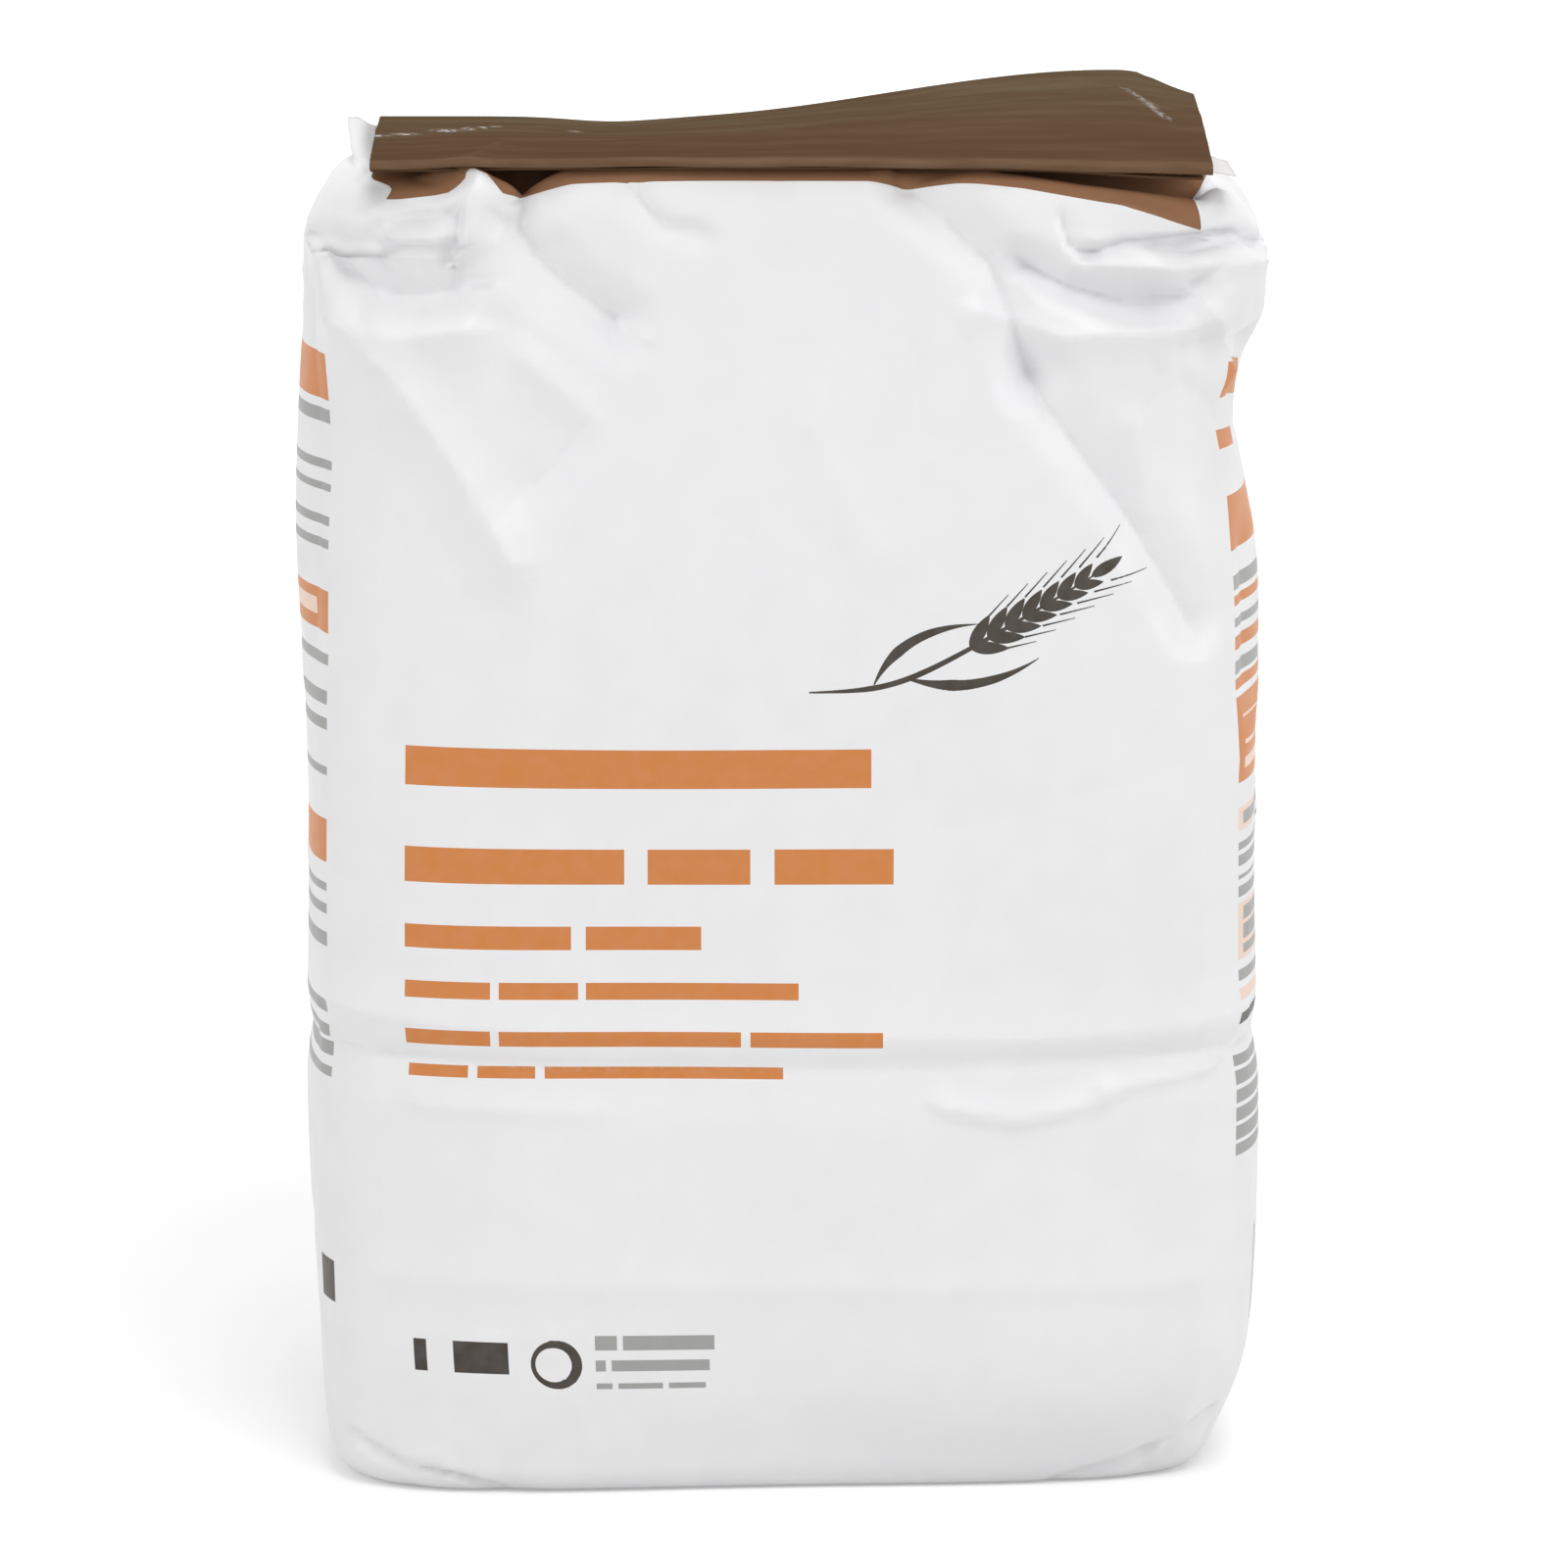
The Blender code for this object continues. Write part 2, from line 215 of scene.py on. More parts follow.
def foot_rows(columns):
    """The flat foot and its rounded edge."""
    flat = [size - FOOT_RADIUS for size in half_sizes(0.0)]
    rows = []
    for share in np.linspace(0.35, 0.98, 16):
        sizes = [share * size for size in flat]
        rows.append(row_of_points(*outline(sizes, FOOT_SQUARENESS, columns), FOOT_LIFT))
    for angle in np.linspace(0.0, 0.5 * np.pi, 11)[:-1]:
        inset = FOOT_RADIUS * (1.0 - math.sin(angle))
        height = FOOT_RADIUS * (1.0 - math.cos(angle))
        sizes = [size - inset for size in half_sizes(height)]
        rows.append(row_of_points(*outline(sizes, FOOT_SQUARENESS, columns), max(height, FOOT_LIFT)))
    return rows


def wall_rows(columns, wall_levels):
    """The upright walls, squarest at the foot and at the shoulder."""
    rows = []
    for height in wall_levels:
        squareness = BODY_SQUARENESS + (FOOT_SQUARENESS - BODY_SQUARENESS) * swell(height, 30.0)
        squareness += 1.5 * ease((height - 120.0) / 28.0)
        rows.append(row_of_points(*outline(half_sizes(height), squareness, columns), height))
    return rows


def shoulder_rows(columns):
    """The soft turn from the walls to the top."""
    left, right, depth = half_sizes(SHOULDER_START)
    rows = []
    for angle in np.linspace(0.0, 0.5 * np.pi, 21)[1:]:
        rise = math.sin(angle)
        turned = 1.0 - math.cos(angle)
        sizes = (left - SIDE_ROLL * turned, right - SIDE_ROLL * turned, depth - FRONT_ROLL * turned**1.6)
        x, y = outline(sizes, 5.0 + rise, columns)
        rows.append(row_of_points(x, y, SHOULDER_START + (front_fold_height(x) - SHOULDER_START) * rise))
    return rows


def top_rows(columns):
    """The sloping top, up to the ridge under the closure."""
    left, right, depth = half_sizes(SHOULDER_START)
    inner = (left - SIDE_ROLL, right - SIDE_ROLL, depth - FRONT_ROLL)
    ridge = (RIDGE_LEFT, RIDGE_RIGHT, RIDGE_HALF_DEPTH)
    rows = []
    for share in np.linspace(0.0, 1.0, 23)[1:]:
        sizes = [start + (end - start) * share for start, end in zip(inner, ridge)]
        x, y = outline(sizes, 6.0 + 2.0 * share, columns)
        edge = front_fold_height(x)
        cover = STACK_HEIGHT * ease((x - FIN_LEFT + 2.2) / 2.2)
        z = edge + (ridge_height(x) - cover - edge) * share
        rows.append(row_of_points(x, y - RIDGE_SETBACK * share, z))
    return rows


def sack_base(columns, wall_levels):
    """The smooth sack: points on a grid of rows from the foot to the ridge, with the rise of every row."""
    foot = foot_rows(columns)
    rows = foot + wall_rows(columns, wall_levels) + shoulder_rows(columns) + top_rows(columns)
    points = tucked_foot(lowered_at_back(np.array(rows)))
    steps = np.linalg.norm(np.diff(points[:, 0], axis=0), axis=1)
    rise = np.concatenate(([0.0], np.cumsum(steps)))
    return points, rise - rise[len(foot)] + wall_levels[0]


def grid_normals(points):
    """Outward normals of a grid that closes on itself from column to column."""
    around = np.roll(points, -1, axis=1) - np.roll(points, 1, axis=1)
    upward = np.gradient(points, axis=0)
    normal = np.cross(around, upward)
    return normal / np.maximum(np.linalg.norm(normal, axis=2, keepdims=True), 1e-9)


# ---- folds pressed into the paper

# The upright creases at the panels' edges, the rise from which the closure holds the paper flat, and how
# far the wear of a fold's crest reaches.
CREASE_STAND = 0.22
CREASE_WEAR = 0.35
HELD_FLAT_FROM = 167.0
CREST_WIDTH = 0.9

# Each fold is (points along it as (run, rise), how far it stands out or in, spread above, spread below).
FOLD_DEPTH = 1.6
LEFT_SHOULDER = (
    (((-36.4, 159.6), (-36.3, 152.9), (-37.1, 150.0)), 1.5, 3.0, 6.0),
    (((-32.1, 160.6), (-31.7, 156.2)), -1.7, 7.0, 2.0),
    (((-38.3, 153.9), (-38.5, 148.1)), -1.1, 1.2, 2.5),
    (((-45.2, 154.0), (-39.4, 154.4)), -0.4, 0.9, 1.6),
    (((-46.7, 150.7), (-38.9, 151.2)), 0.75, 2.6, 2.2),
    (((-54.4, 146.4), (-48.6, 143.9), (-42.8, 143.3), (-37.7, 144.4)), -1.9, 7.0, 3.8),
    (((-52.5, 140.0), (-44.7, 138.8), (-36.9, 140.0)), 0.9, 3.0, 5.0),
    (((-32.1, 152.4), (-25.8, 145.7), (-19.4, 140.9)), -1.5, 5.0, 6.5),
    (((-19.4, 140.9), (-21.9, 130.8), (-29.2, 122.1)), -0.8, 6.0, 8.0),
    (((-17.5, 156.2), (-14.1, 152.1), (-10.2, 151.5)), -0.75, 2.0, 3.5),
    (((-46.7, 135.6), (-38.9, 124.0), (-31.6, 112.9)), 1.15, 5.0, 7.0),
    (((-30.1, 136.6), (-22.8, 129.8)), 0.5, 4.0, 4.0),
    (((-60.0, 142.0), (-58.0, 122.0), (-60.0, 102.0)), -0.55, 9.0, 9.0),
    (((-36.0, 162.0), (-31.0, 161.2), (-24.0, 163.0)), -2.6, 4.0, 3.4),
)
RIGHT_SHOULDER = (
    (((15.1, 156.7), (23.9, 147.5), (26.6, 140.6), (28.8, 134.4)), -1.8, 7.0, 5.0),
    (((28.8, 134.4), (40.6, 118.6), (48.1, 105.1)), -1.3, 6.0, 5.0),
    (((28.2, 147.1), (33.0, 144.6), (39.9, 142.7), (47.1, 142.9)), -2.1, 4.5, 3.6),
    (((23.3, 142.3), (32.1, 139.1), (45.7, 140.4)), 0.9, 3.0, 4.5),
    (((35.0, 148.9), (39.9, 150.2), (54.4, 151.0)), -1.2, 1.3, 2.6),
    (((43.3, 149.9), (50.5, 149.8)), -0.5, 0.9, 2.0),
    (((32.7, 153.5), (33.6, 150.0), (35.2, 148.8)), -0.6, 2.4, 1.2),
    (((34.0, 147.5), (46.7, 147.1), (60.3, 146.8)), 0.8, 2.2, 2.4),
    (((41.8, 149.2), (51.0, 140.2), (58.3, 133.7)), 0.6, 2.6, 3.4),
    (((47.6, 145.2), (51.0, 147.1)), -0.5, 1.0, 1.6),
    (((50.5, 142.8), (58.3, 145.7), (66.1, 142.3)), 0.3, 4.0, 5.0),
    (((41.3, 128.8), (42.8, 118.2)), 0.5, 3.0, 3.0),
    (((3.4, 128.8), (10.2, 114.3)), 0.35, 6.0, 6.0),
    (((48.6, 132.7), (56.4, 127.9), (64.2, 130.8)), -0.6, 5.0, 6.0),
    (((50.0, 137.5), (60.0, 136.5), (70.0, 137.5)), -1.4, 4.0, 5.0),
    (((60.0, 112.0), (60.0, 98.0)), -0.7, 9.0, 9.0),
    (((26.0, 163.0), (36.0, 161.6), (50.0, 160.6)), -3.2, 4.5, 4.2),
)
WAIST = (
    (((-54.9, 59.2), (-29.4, 57.5), (0.0, 56.9), (29.4, 56.7), (55.9, 57.5)), 0.4, 6.0, 2.6),
    (((-54.0, 54.4), (-24.5, 52.8), (0.0, 52.8), (29.4, 53.4), (54.9, 54.0)), -0.7, 2.6, 6.0),
    (((18.6, 48.4), (27.5, 46.7), (37.8, 49.1)), 0.55, 3.6, 1.8),
    (((37.8, 50.2), (52.0, 52.0)), 0.45, 2.6, 1.4),
    (((-42.2, 48.5), (-22.6, 47.7)), 0.3, 3.0, 2.0),
    (((-49.0, 27.3), (0.0, 26.7), (49.0, 26.5)), 0.22, 5.0, 3.0),
)
FOOT_TUCKS = (
    (((-54.0, 6.6), (-47.5, 3.6), (-41.0, 2.2), (-36.0, 0.4)), -0.75, 1.0, 2.4),
    (((-47.0, 3.4), (-40.0, 1.0)), 0.35, 0.7, 1.2),
    (((54.5, 8.6), (47.0, 4.6), (40.0, 2.0), (35.0, 0.2)), -0.75, 2.4, 1.0),
    (((49.5, 9.0), (46.5, 3.0)), 0.4, 1.2, 1.8),
)
SIDE_FOLDS = (
    (((SIDE_MIDDLE, 60.0), (SIDE_MIDDLE, 136.0)), -0.9, 11.0, 11.0),
    (((SIDE_MIDDLE, 136.0), (SIDE_MIDDLE - 26.0, 151.0)), 0.35, 6.0, 6.0),
    (((SIDE_MIDDLE, 136.0), (SIDE_MIDDLE + 26.0, 151.0)), 0.35, 6.0, 6.0),
    (((SIDE_MIDDLE - 24.0, 150.6), (SIDE_MIDDLE + 24.0, 150.6)), 0.2, 4.0, 5.0),
    (((SIDE_MIDDLE - 13.0, 154.0), (SIDE_MIDDLE, 141.0), (SIDE_MIDDLE + 13.0, 154.0)), -0.8, 6.0, 6.0),
    (((SIDE_MIDDLE, 150.0), (SIDE_MIDDLE, 168.0)), -1.4, 12.0, 12.0),
    (((SIDE_MIDDLE - 22.0, 54.0), (SIDE_MIDDLE + 24.0, 49.0)), -0.5, 5.0, 6.0),
)


def all_panel_edges():
    """Runs of the four upright creases: front left, front right and the two on the back."""
    half = GIRTH / 2.0
    return [PANEL_EDGES[0], PANEL_EDGES[1], half - PANEL_EDGES[1], half - PANEL_EDGES[0]]


def mirrored(folds, about, scale=1.0):
    """The same folds on the other side of an upright line."""
    flipped = []
    for path, stand, above, below in folds:
        path = tuple((2.0 * about - run, rise) for run, rise in path)
        flipped.append((path, stand * scale, below, above))
    return tuple(flipped)


def shifted(folds, along, scale=1.0):
    """The same folds further round the sack."""
    moved = []
    for path, stand, above, below in folds:
        path = tuple((run + along, rise) for run, rise in path)
        moved.append((path, stand * scale, above, below))
    return tuple(moved)


def crumples(count, centre, reach, seed, stand, longest):
    """Many small straight folds scattered round a place, as crushed paper has."""
    chance = np.random.default_rng(seed)
    folds = []
    for _ in range(count):
        middle = np.array(centre) + chance.normal(0.0, 1.0, 2) * np.array(reach)
        angle = chance.uniform(0.0, np.pi)
        half = 0.5 * chance.uniform(0.3, 1.0) * longest * np.array((math.cos(angle), math.sin(angle)))
        height = stand * chance.uniform(0.3, 1.0) * chance.choice((-1.0, 1.0))
        spreads = chance.uniform(1.2, 4.0, 2)
        folds.append(((tuple(middle - half), tuple(middle + half)), height, *spreads))
    return tuple(folds)


def every_fold():
    """All the folds of the sack."""
    half = GIRTH / 2.0
    front = LEFT_SHOULDER + RIGHT_SHOULDER + WAIST + FOOT_TUCKS
    back = shifted(LEFT_SHOULDER[5:], half, 0.8) + shifted(RIGHT_SHOULDER[:4], half, 0.8)
    back += mirrored(shifted(WAIST[:2] + FOOT_TUCKS, half), half, 0.8)
    sides = SIDE_FOLDS + mirrored(SIDE_FOLDS, 0.0)
    small = ()
    for count, centre, reach, seed, stand, longest in (
        (16, (-44.0, 150.0), (7.0, 4.0), 3, 0.28, 9.0),
        (22, (44.0, 148.0), (9.0, 5.0), 5, 0.32, 10.0),
        (12, (half - 42.0, 148.0), (9.0, 5.0), 7, 0.3, 10.0),
        (12, (half + 42.0, 148.0), (9.0, 5.0), 9, 0.3, 10.0),
        (14, (0.0, 95.0), (38.0, 42.0), 11, 0.12, 34.0),
        (14, (half, 85.0), (38.0, 42.0), 13, 0.16, 34.0),
    ):
        small += crumples(count, centre, reach, seed, stand, longest)
    for side in (-SIDE_MIDDLE, SIDE_MIDDLE):
        small += crumples(12, (side, 145.0), (18.0, 7.0), 17, 0.3, 12.0)
        small += crumples(8, (side, 80.0), (16.0, 40.0), 19, 0.16, 26.0)
    for corner in (-48.0, 48.0, half - 48.0, half + 48.0):
        small += crumples(7, (corner, 4.0), (7.0, 3.0), 23, 0.2, 8.0)
    return front + back + sides + small


def press_fold(run, rise, fold, move, wear):
    """Add one fold to the movement of the paper, and the wear along its crest."""
    path, stand, above, below = fold
    nearest = np.full(run.shape, 1e9)
    side = np.zeros(run.shape)
    for start, end in zip(path, path[1:]):
        line = np.subtract(end, start)
        length = float(np.hypot(*line))
        offset_run = (run - start[0] + GIRTH / 2.0) % GIRTH - GIRTH / 2.0
        offset_rise = rise - start[1]
        share = np.clip((offset_run * line[0] + offset_rise * line[1]) / length**2, 0.0, 1.0)
        away = np.hypot(offset_run - share * line[0], offset_rise - share * line[1])
        cross = line[0] * offset_rise - line[1] * offset_run
        closer = away < nearest
        nearest = np.where(closer, away, nearest)
        side = np.where(closer, cross, side)
    spread = np.where(side > 0.0, above, below)
    move += stand * np.clip(1.0 - nearest / spread, 0.0, 1.0) ** 1.5
    wear += min(abs(stand), 1.0) * np.clip(1.0 - nearest / CREST_WIDTH, 0.0, 1.0)


def undulation(run, rise):
    """Slow waves of a soft filled wall."""
    chance = np.random.default_rng(31)
    waves = np.zeros(np.broadcast(run, rise).shape)
    for _ in range(14):
        turns = chance.integers(1, 9)
        climb = chance.uniform(-0.09, 0.09)
        phase = chance.uniform(0.0, 2.0 * np.pi)
        strength = chance.uniform(0.02, 0.10)
        waves += strength * np.sin(2.0 * np.pi * turns * run / GIRTH + climb * rise + phase)
    return waves


def panels_drawn_in(points, columns, rise):
    """Slide the columns of the top rows so that the front panel's edges run up to the closure's ends."""
    signed = np.where(columns > GIRTH / 2.0, columns - GIRTH, columns)
    front = np.flatnonzero(np.abs(signed) < SIDE_MIDDLE)
    front = front[np.argsort(signed[front])]
    runs = signed[front]
    ends = (runs[0], PANEL_EDGES[0], 0.0, PANEL_EDGES[1], runs[-1])
    spare = 1.5
    for row in np.flatnonzero(rise > PRINT_EDGE_LEVEL):
        ring = points[row, front].copy()
        left = max(FIN_LEFT, ring[0, 0] + spare)
        right = min(FIN_RIGHT_AT_EDGE - 0.2, ring[-1, 0] - spare)
        share = ease((rise[row] - PRINT_EDGE_LEVEL) / 2.0)
        run_left, run_right = np.interp((left, right), ring[:, 0], runs)
        run_left = PANEL_EDGES[0] + share * (run_left - PANEL_EDGES[0])
        run_right = PANEL_EDGES[1] + share * (run_right - PANEL_EDGES[1])
        moved = np.interp(runs, ends, (ends[0], run_left, 0.0, run_right, ends[4]))
        for axis in range(3):
            points[row, front, axis] = np.interp(moved, runs, ring[:, axis])
    return points


def bent_to_print_edge(points, level, runs):
    """Slide the paper up or down so that one row follows the lower edge of the brown print."""
    shift = np.interp(runs, *zip(*PRINT_EDGE)) - PRINT_EDGE_LEVEL
    at_back = GIRTH / 2.0 - np.abs(runs) < FINE_HALF_WIDTH
    shift = np.where(at_back, 0.0, shift)
    share = swell(level - PRINT_EDGE_LEVEL, 6.0)
    for column in range(points.shape[1]):
        moved = level + shift[column] * share
        for axis in range(3):
            points[:, column, axis] = np.interp(moved, level, points[:, column, axis].copy())
    return level[:, None] + shift[None, :] * share[:, None]


def sack_surface(columns, wall_levels):
    """The finished sack: points, the rise of each row and the wear of each point."""
    points, rise = sack_base(columns, wall_levels)
    points = panels_drawn_in(points, columns, rise)
    run_grid = np.broadcast_to(columns, points.shape[:2])
    run_grid = np.where(run_grid > GIRTH / 2.0, run_grid - GIRTH, run_grid)
    rise_grid = bent_to_print_edge(points, rise, run_grid[0])
    move = undulation(run_grid, rise_grid)
    wear = np.zeros_like(move)
    for fold in every_fold():
        press_fold(run_grid, rise_grid, fold, move, wear)
    move *= FOLD_DEPTH
    for corner in all_panel_edges():
        away = np.abs((run_grid - corner + GIRTH / 2.0) % GIRTH - GIRTH / 2.0)
        move += CREASE_STAND * np.exp(-away / 1.6) * ease(rise_grid / 12.0)
        wear += CREASE_WEAR * np.clip(1.0 - away / 0.7, 0.0, 1.0)
    move *= ease((rise_grid + 2.0) / 4.0)
    move *= 1.0 - 0.8 * ease((rise_grid - HELD_FLAT_FROM) / 3.0)
    points = points + grid_normals(points) * move[:, :, None]
    points[:, :, 2] = np.maximum(points[:, :, 2], FOOT_LIFT)
    return points, rise, np.clip(wear, 0.0, 1.0)


# ---- the print

# The brown top of the broad panels starts along this line of (run, rise). It is one row of the grid, at
# the level given.
PRINT_EDGE_LEVEL = 157.8
PRINT_EDGE = (
    (-60.0, 157.0), (-47.5, 156.6), (-40.0, 157.1), (-37.5, 158.9), (-35.5, 158.3), (-33.5, 156.8),
    (-26.0, 157.6), (21.0, 157.8), (29.0, 157.2), (40.0, 155.6), (44.0, 154.3), (50.0, 151.8), (60.0, 151.0),
)

# The inks, in the order of the sack's material slots. The last is a lighter brown: painted light on the
# brown in front of the ridge, where the closure's overhang shades it.
WHITE, BROWN, ORANGE, DARK, GREY, PEACH, PAINTED_LIGHT_BROWN = range(7)

TEXT_MARGIN = -44.0
SIDE_MARGIN = 56.0
SIDE_TEXT_WIDTH = 50.0


def line_of_words(left, bottom, height, lengths, gap, ink):
    """A row of plain bars standing for words."""
    bars = []
    for length in lengths:
        bars.append((left, left + length, bottom, bottom + height, ink))
        left += length + gap
    return bars


def front_print():
    """Fields of colour on a broad panel: a title block, finer lines and a small row near the foot."""
    bars = []
    for left, bottom, height, lengths, gap, ink in (
        (TEXT_MARGIN, 86.2, 4.4, (54.2,), 0.0, ORANGE),
        (TEXT_MARGIN, 75.3, 4.2, (25.6, 12.0, 13.8), 2.7, ORANGE),
        (TEXT_MARGIN, 67.2, 2.9, (19.4, 13.4), 1.7, ORANGE),
        (TEXT_MARGIN, 61.4, 1.7, (10.0, 9.2, 24.6), 1.0, ORANGE),
        (TEXT_MARGIN, 55.9, 1.7, (10.0, 28.0, 15.4), 1.1, ORANGE),
        (TEXT_MARGIN, 51.6, 1.7, (7.2, 6.8, 27.8), 1.1, ORANGE),
        (TEXT_MARGIN, 15.9, 4.4, (1.6, 6.6), 3.3, DARK),
        (-22.2, 19.3, 1.3, (2.6, 10.8), 0.7, GREY),
        (-22.2, 16.7, 1.3, (1.2, 11.6), 0.7, GREY),
        (-22.2, 14.1, 1.3, (2.0, 5.2, 4.4), 0.7, GREY),
    ):
        bars += line_of_words(left, bottom, height, lengths, gap, ink)
    return bars


def text_lines(top, count, pitch, thickness, ink, seed, left=SIDE_MARGIN, width=SIDE_TEXT_WIDTH):
    """A paragraph as plain thin bars, ragged on the right."""
    chance = np.random.default_rng(seed)
    bars = []
    for row in range(count):
        length = width * chance.uniform(0.72, 1.0)
        bottom = top - row * pitch - thickness
        bars.append((left, left + length, bottom, bottom + thickness, ink))
    return bars


def box(top, bottom, ink, left=SIDE_MARGIN, width=SIDE_TEXT_WIDTH):
    """A plain filled box."""
    return [(left, left + width, bottom, top, ink)]


def right_side_print():
    """Right side: headed paragraphs, a box with pale lines and a small table."""
    bars = text_lines(134.7, 1, 3.0, 4.2, ORANGE, 2, width=20.0)
    bars += text_lines(126.4, 1, 3.0, 2.2, ORANGE, 3, width=9.0)
    bars += box(118.8, 112.4, ORANGE, width=30.0)
    for row in range(6):
        bars += text_lines(109.5 - 2.5 * row, 1, 2.5, 1.3, (GREY, ORANGE)[row % 2], 40 + row)
    bars += box(95.2, 85.2, ORANGE)
    for row in range(3):
        bars += text_lines(93.2 - 2.9 * row, 1, 2.9, 1.2, PEACH, 50 + row, SIDE_MARGIN + 2.0, 36.0)
    bars += box(82.1, 79.1, PEACH) + text_lines(81.3, 1, 2.0, 1.3, GREY, 60, SIDE_MARGIN + 1.5, 38.0)
    bars += text_lines(78.1, 4, 1.9, 1.0, GREY, 61)
    bars += box(70.6, 63.7, PEACH) + text_lines(69.9, 3, 2.2, 1.2, GREY, 62, SIDE_MARGIN + 1.5, 38.0)
    bars += text_lines(62.6, 1, 2.0, 1.1, GREY, 63) + box(60.6, 59.0, PEACH)
    bars += text_lines(57.4, 1, 2.0, 1.1, DARK, 64)
    bars += text_lines(52.5, 6, 2.2, 1.2, GREY, 65)
    for strip in range(9):
        left = SIDE_MARGIN + 8.0 + 2.7 * strip
        bars.append((left, left + (1.0, 1.7, 0.8)[strip % 3], 18.5, 30.0, GREY))
    return bars


def left_side_print():
    """Left side, from its front edge inwards: three headed paragraphs."""
    bars = []
    for top, bottom in ((136.0, 130.2), (108.3, 102.6), (81.0, 75.6)):
        bars += box(top, bottom, ORANGE)
    bars += text_lines(106.3, 1, 2.0, 1.8, PEACH, 70, SIDE_MARGIN + 4.0, 22.0)
    bars += text_lines(128.9, 1, 2.4, 1.2, GREY, 71, width=20.0)
    for top in (123.1, 116.5, 95.6, 73.2):
        bars += text_lines(top, 2, 2.6, 1.3, GREY, 72 + int(top))
    for top in (99.9, 87.0, 66.7):
        bars += text_lines(top, 1, 2.6, 1.3, GREY, 73 + int(top), width=30.0)
    bars += box(27.4, 22.5, DARK, SIDE_MARGIN + 1.0, 5.0)
    bars += text_lines(58.8, 4, 2.6, 1.2, GREY, 79)
    return [(-right, -left, bottom, top, ink) for left, right, bottom, top, ink in bars]


def whole_print():
    """Every bar on the sack; the back carries the front's title block."""
    half = GIRTH / 2.0
    front = front_print()
    back = [(left + half, right + half, bottom, top, ink) for left, right, bottom, top, ink in front]
    return front + back + right_side_print() + left_side_print()


def between_fin_ends(across):
    """Whether places across the sack lie under the closure."""
    return (across > FIN_LEFT - 0.4) & (across < FIN_RIGHT_AT_EDGE + 0.2)


def inks_of_cells(columns, rise, bars, points):
    """Which ink covers each cell of the sack's grid."""
    nexts = np.append(columns[1:], columns[0] + GIRTH)
    middle_run = ((columns + nexts) / 2.0) % GIRTH
    middle_rise = (rise[:-1] + rise[1:]) / 2.0
    inks = np.full((len(rise) - 1, len(columns)), WHITE)
    for left, right, bottom, top, ink in bars:
        inside = (middle_run - left) % GIRTH < right - left
        between = (middle_rise > bottom) & (middle_rise < top)
        inks[np.ix_(between, inside)] = ink
    left_edge, right_edge, back_left, back_right = (edge % GIRTH for edge in all_panel_edges())
    broad = (middle_run < right_edge) | (middle_run > left_edge)
    broad |= (middle_run > back_left) & (middle_run < back_right)
    inks[np.ix_(middle_rise > PRINT_EDGE_LEVEL, broad)] = BROWN
    # Brown in front of the ridge, under the closure's overhang, takes the lighter brown: painted light in
    # place of the overhang's shade.
    at_front = points[:-1, :, 1] < -RIDGE_SETBACK
    inks[at_front & (inks == BROWN)] = PAINTED_LIGHT_BROWN
    return inks


# ---- meshes


def add_mesh(name, points, faces, materials, face_materials=None, smooth=True):
    """An object from points in millimetres."""
    mesh = bpy.data.meshes.new(name)
    mesh.from_pydata((np.asarray(points) * MM).tolist(), [], faces)
    for material in materials:
        mesh.materials.append(material)
    if face_materials is not None:
        mesh.polygons.foreach_set("material_index", face_materials)
    mesh.validate()
    mesh.update()
    if smooth:
        mesh.shade_smooth()
    thing = bpy.data.objects.new(name, mesh)
    bpy.context.scene.collection.objects.link(thing)
    return thing


def add_values(thing, name, values):
    """One number for each point, for the materials to read."""
    layer = thing.data.attributes.new(name, "FLOAT", "POINT")
    layer.data.foreach_set("value", np.ascontiguousarray(values, dtype=np.float32).ravel())


def loop_faces(rows, columns):
    """Quads of a grid that closes on itself from column to column."""
    corner = np.arange(rows * columns).reshape(rows, columns)
    low = corner[:-1]
    high = corner[1:]
    quads = np.stack((low, np.roll(low, -1, axis=1), np.roll(high, -1, axis=1), high), axis=2)
    return quads.reshape(-1, 4).tolist()


def cap_faces(ring, columns, faces_down):
    """Strips across a ring from its front half to its back half, paired from left to right."""
    from_left = (columns + SIDE_MIDDLE) % GIRTH
    order = np.argsort(from_left).tolist()
    front = [index for index in order if from_left[index] < GIRTH / 2.0]
    back = [index for index in order[::-1] if from_left[index] >= GIRTH / 2.0]
    faces = []
    here = 0
    there = 0
    while here < len(front) - 1 or there < len(back) - 1:
        front_next = from_left[front[here + 1]] if here < len(front) - 1 else GIRTH
        back_next = GIRTH - from_left[back[there + 1]] if there < len(back) - 1 else GIRTH
        if front_next <= back_next:
            corners = [ring + front[here], ring + front[here + 1], ring + back[there]]
            here += 1
        else:
            corners = [ring + front[here], ring + back[there + 1], ring + back[there]]
            there += 1
        faces.append(corners[::-1] if faces_down else corners)
    return faces


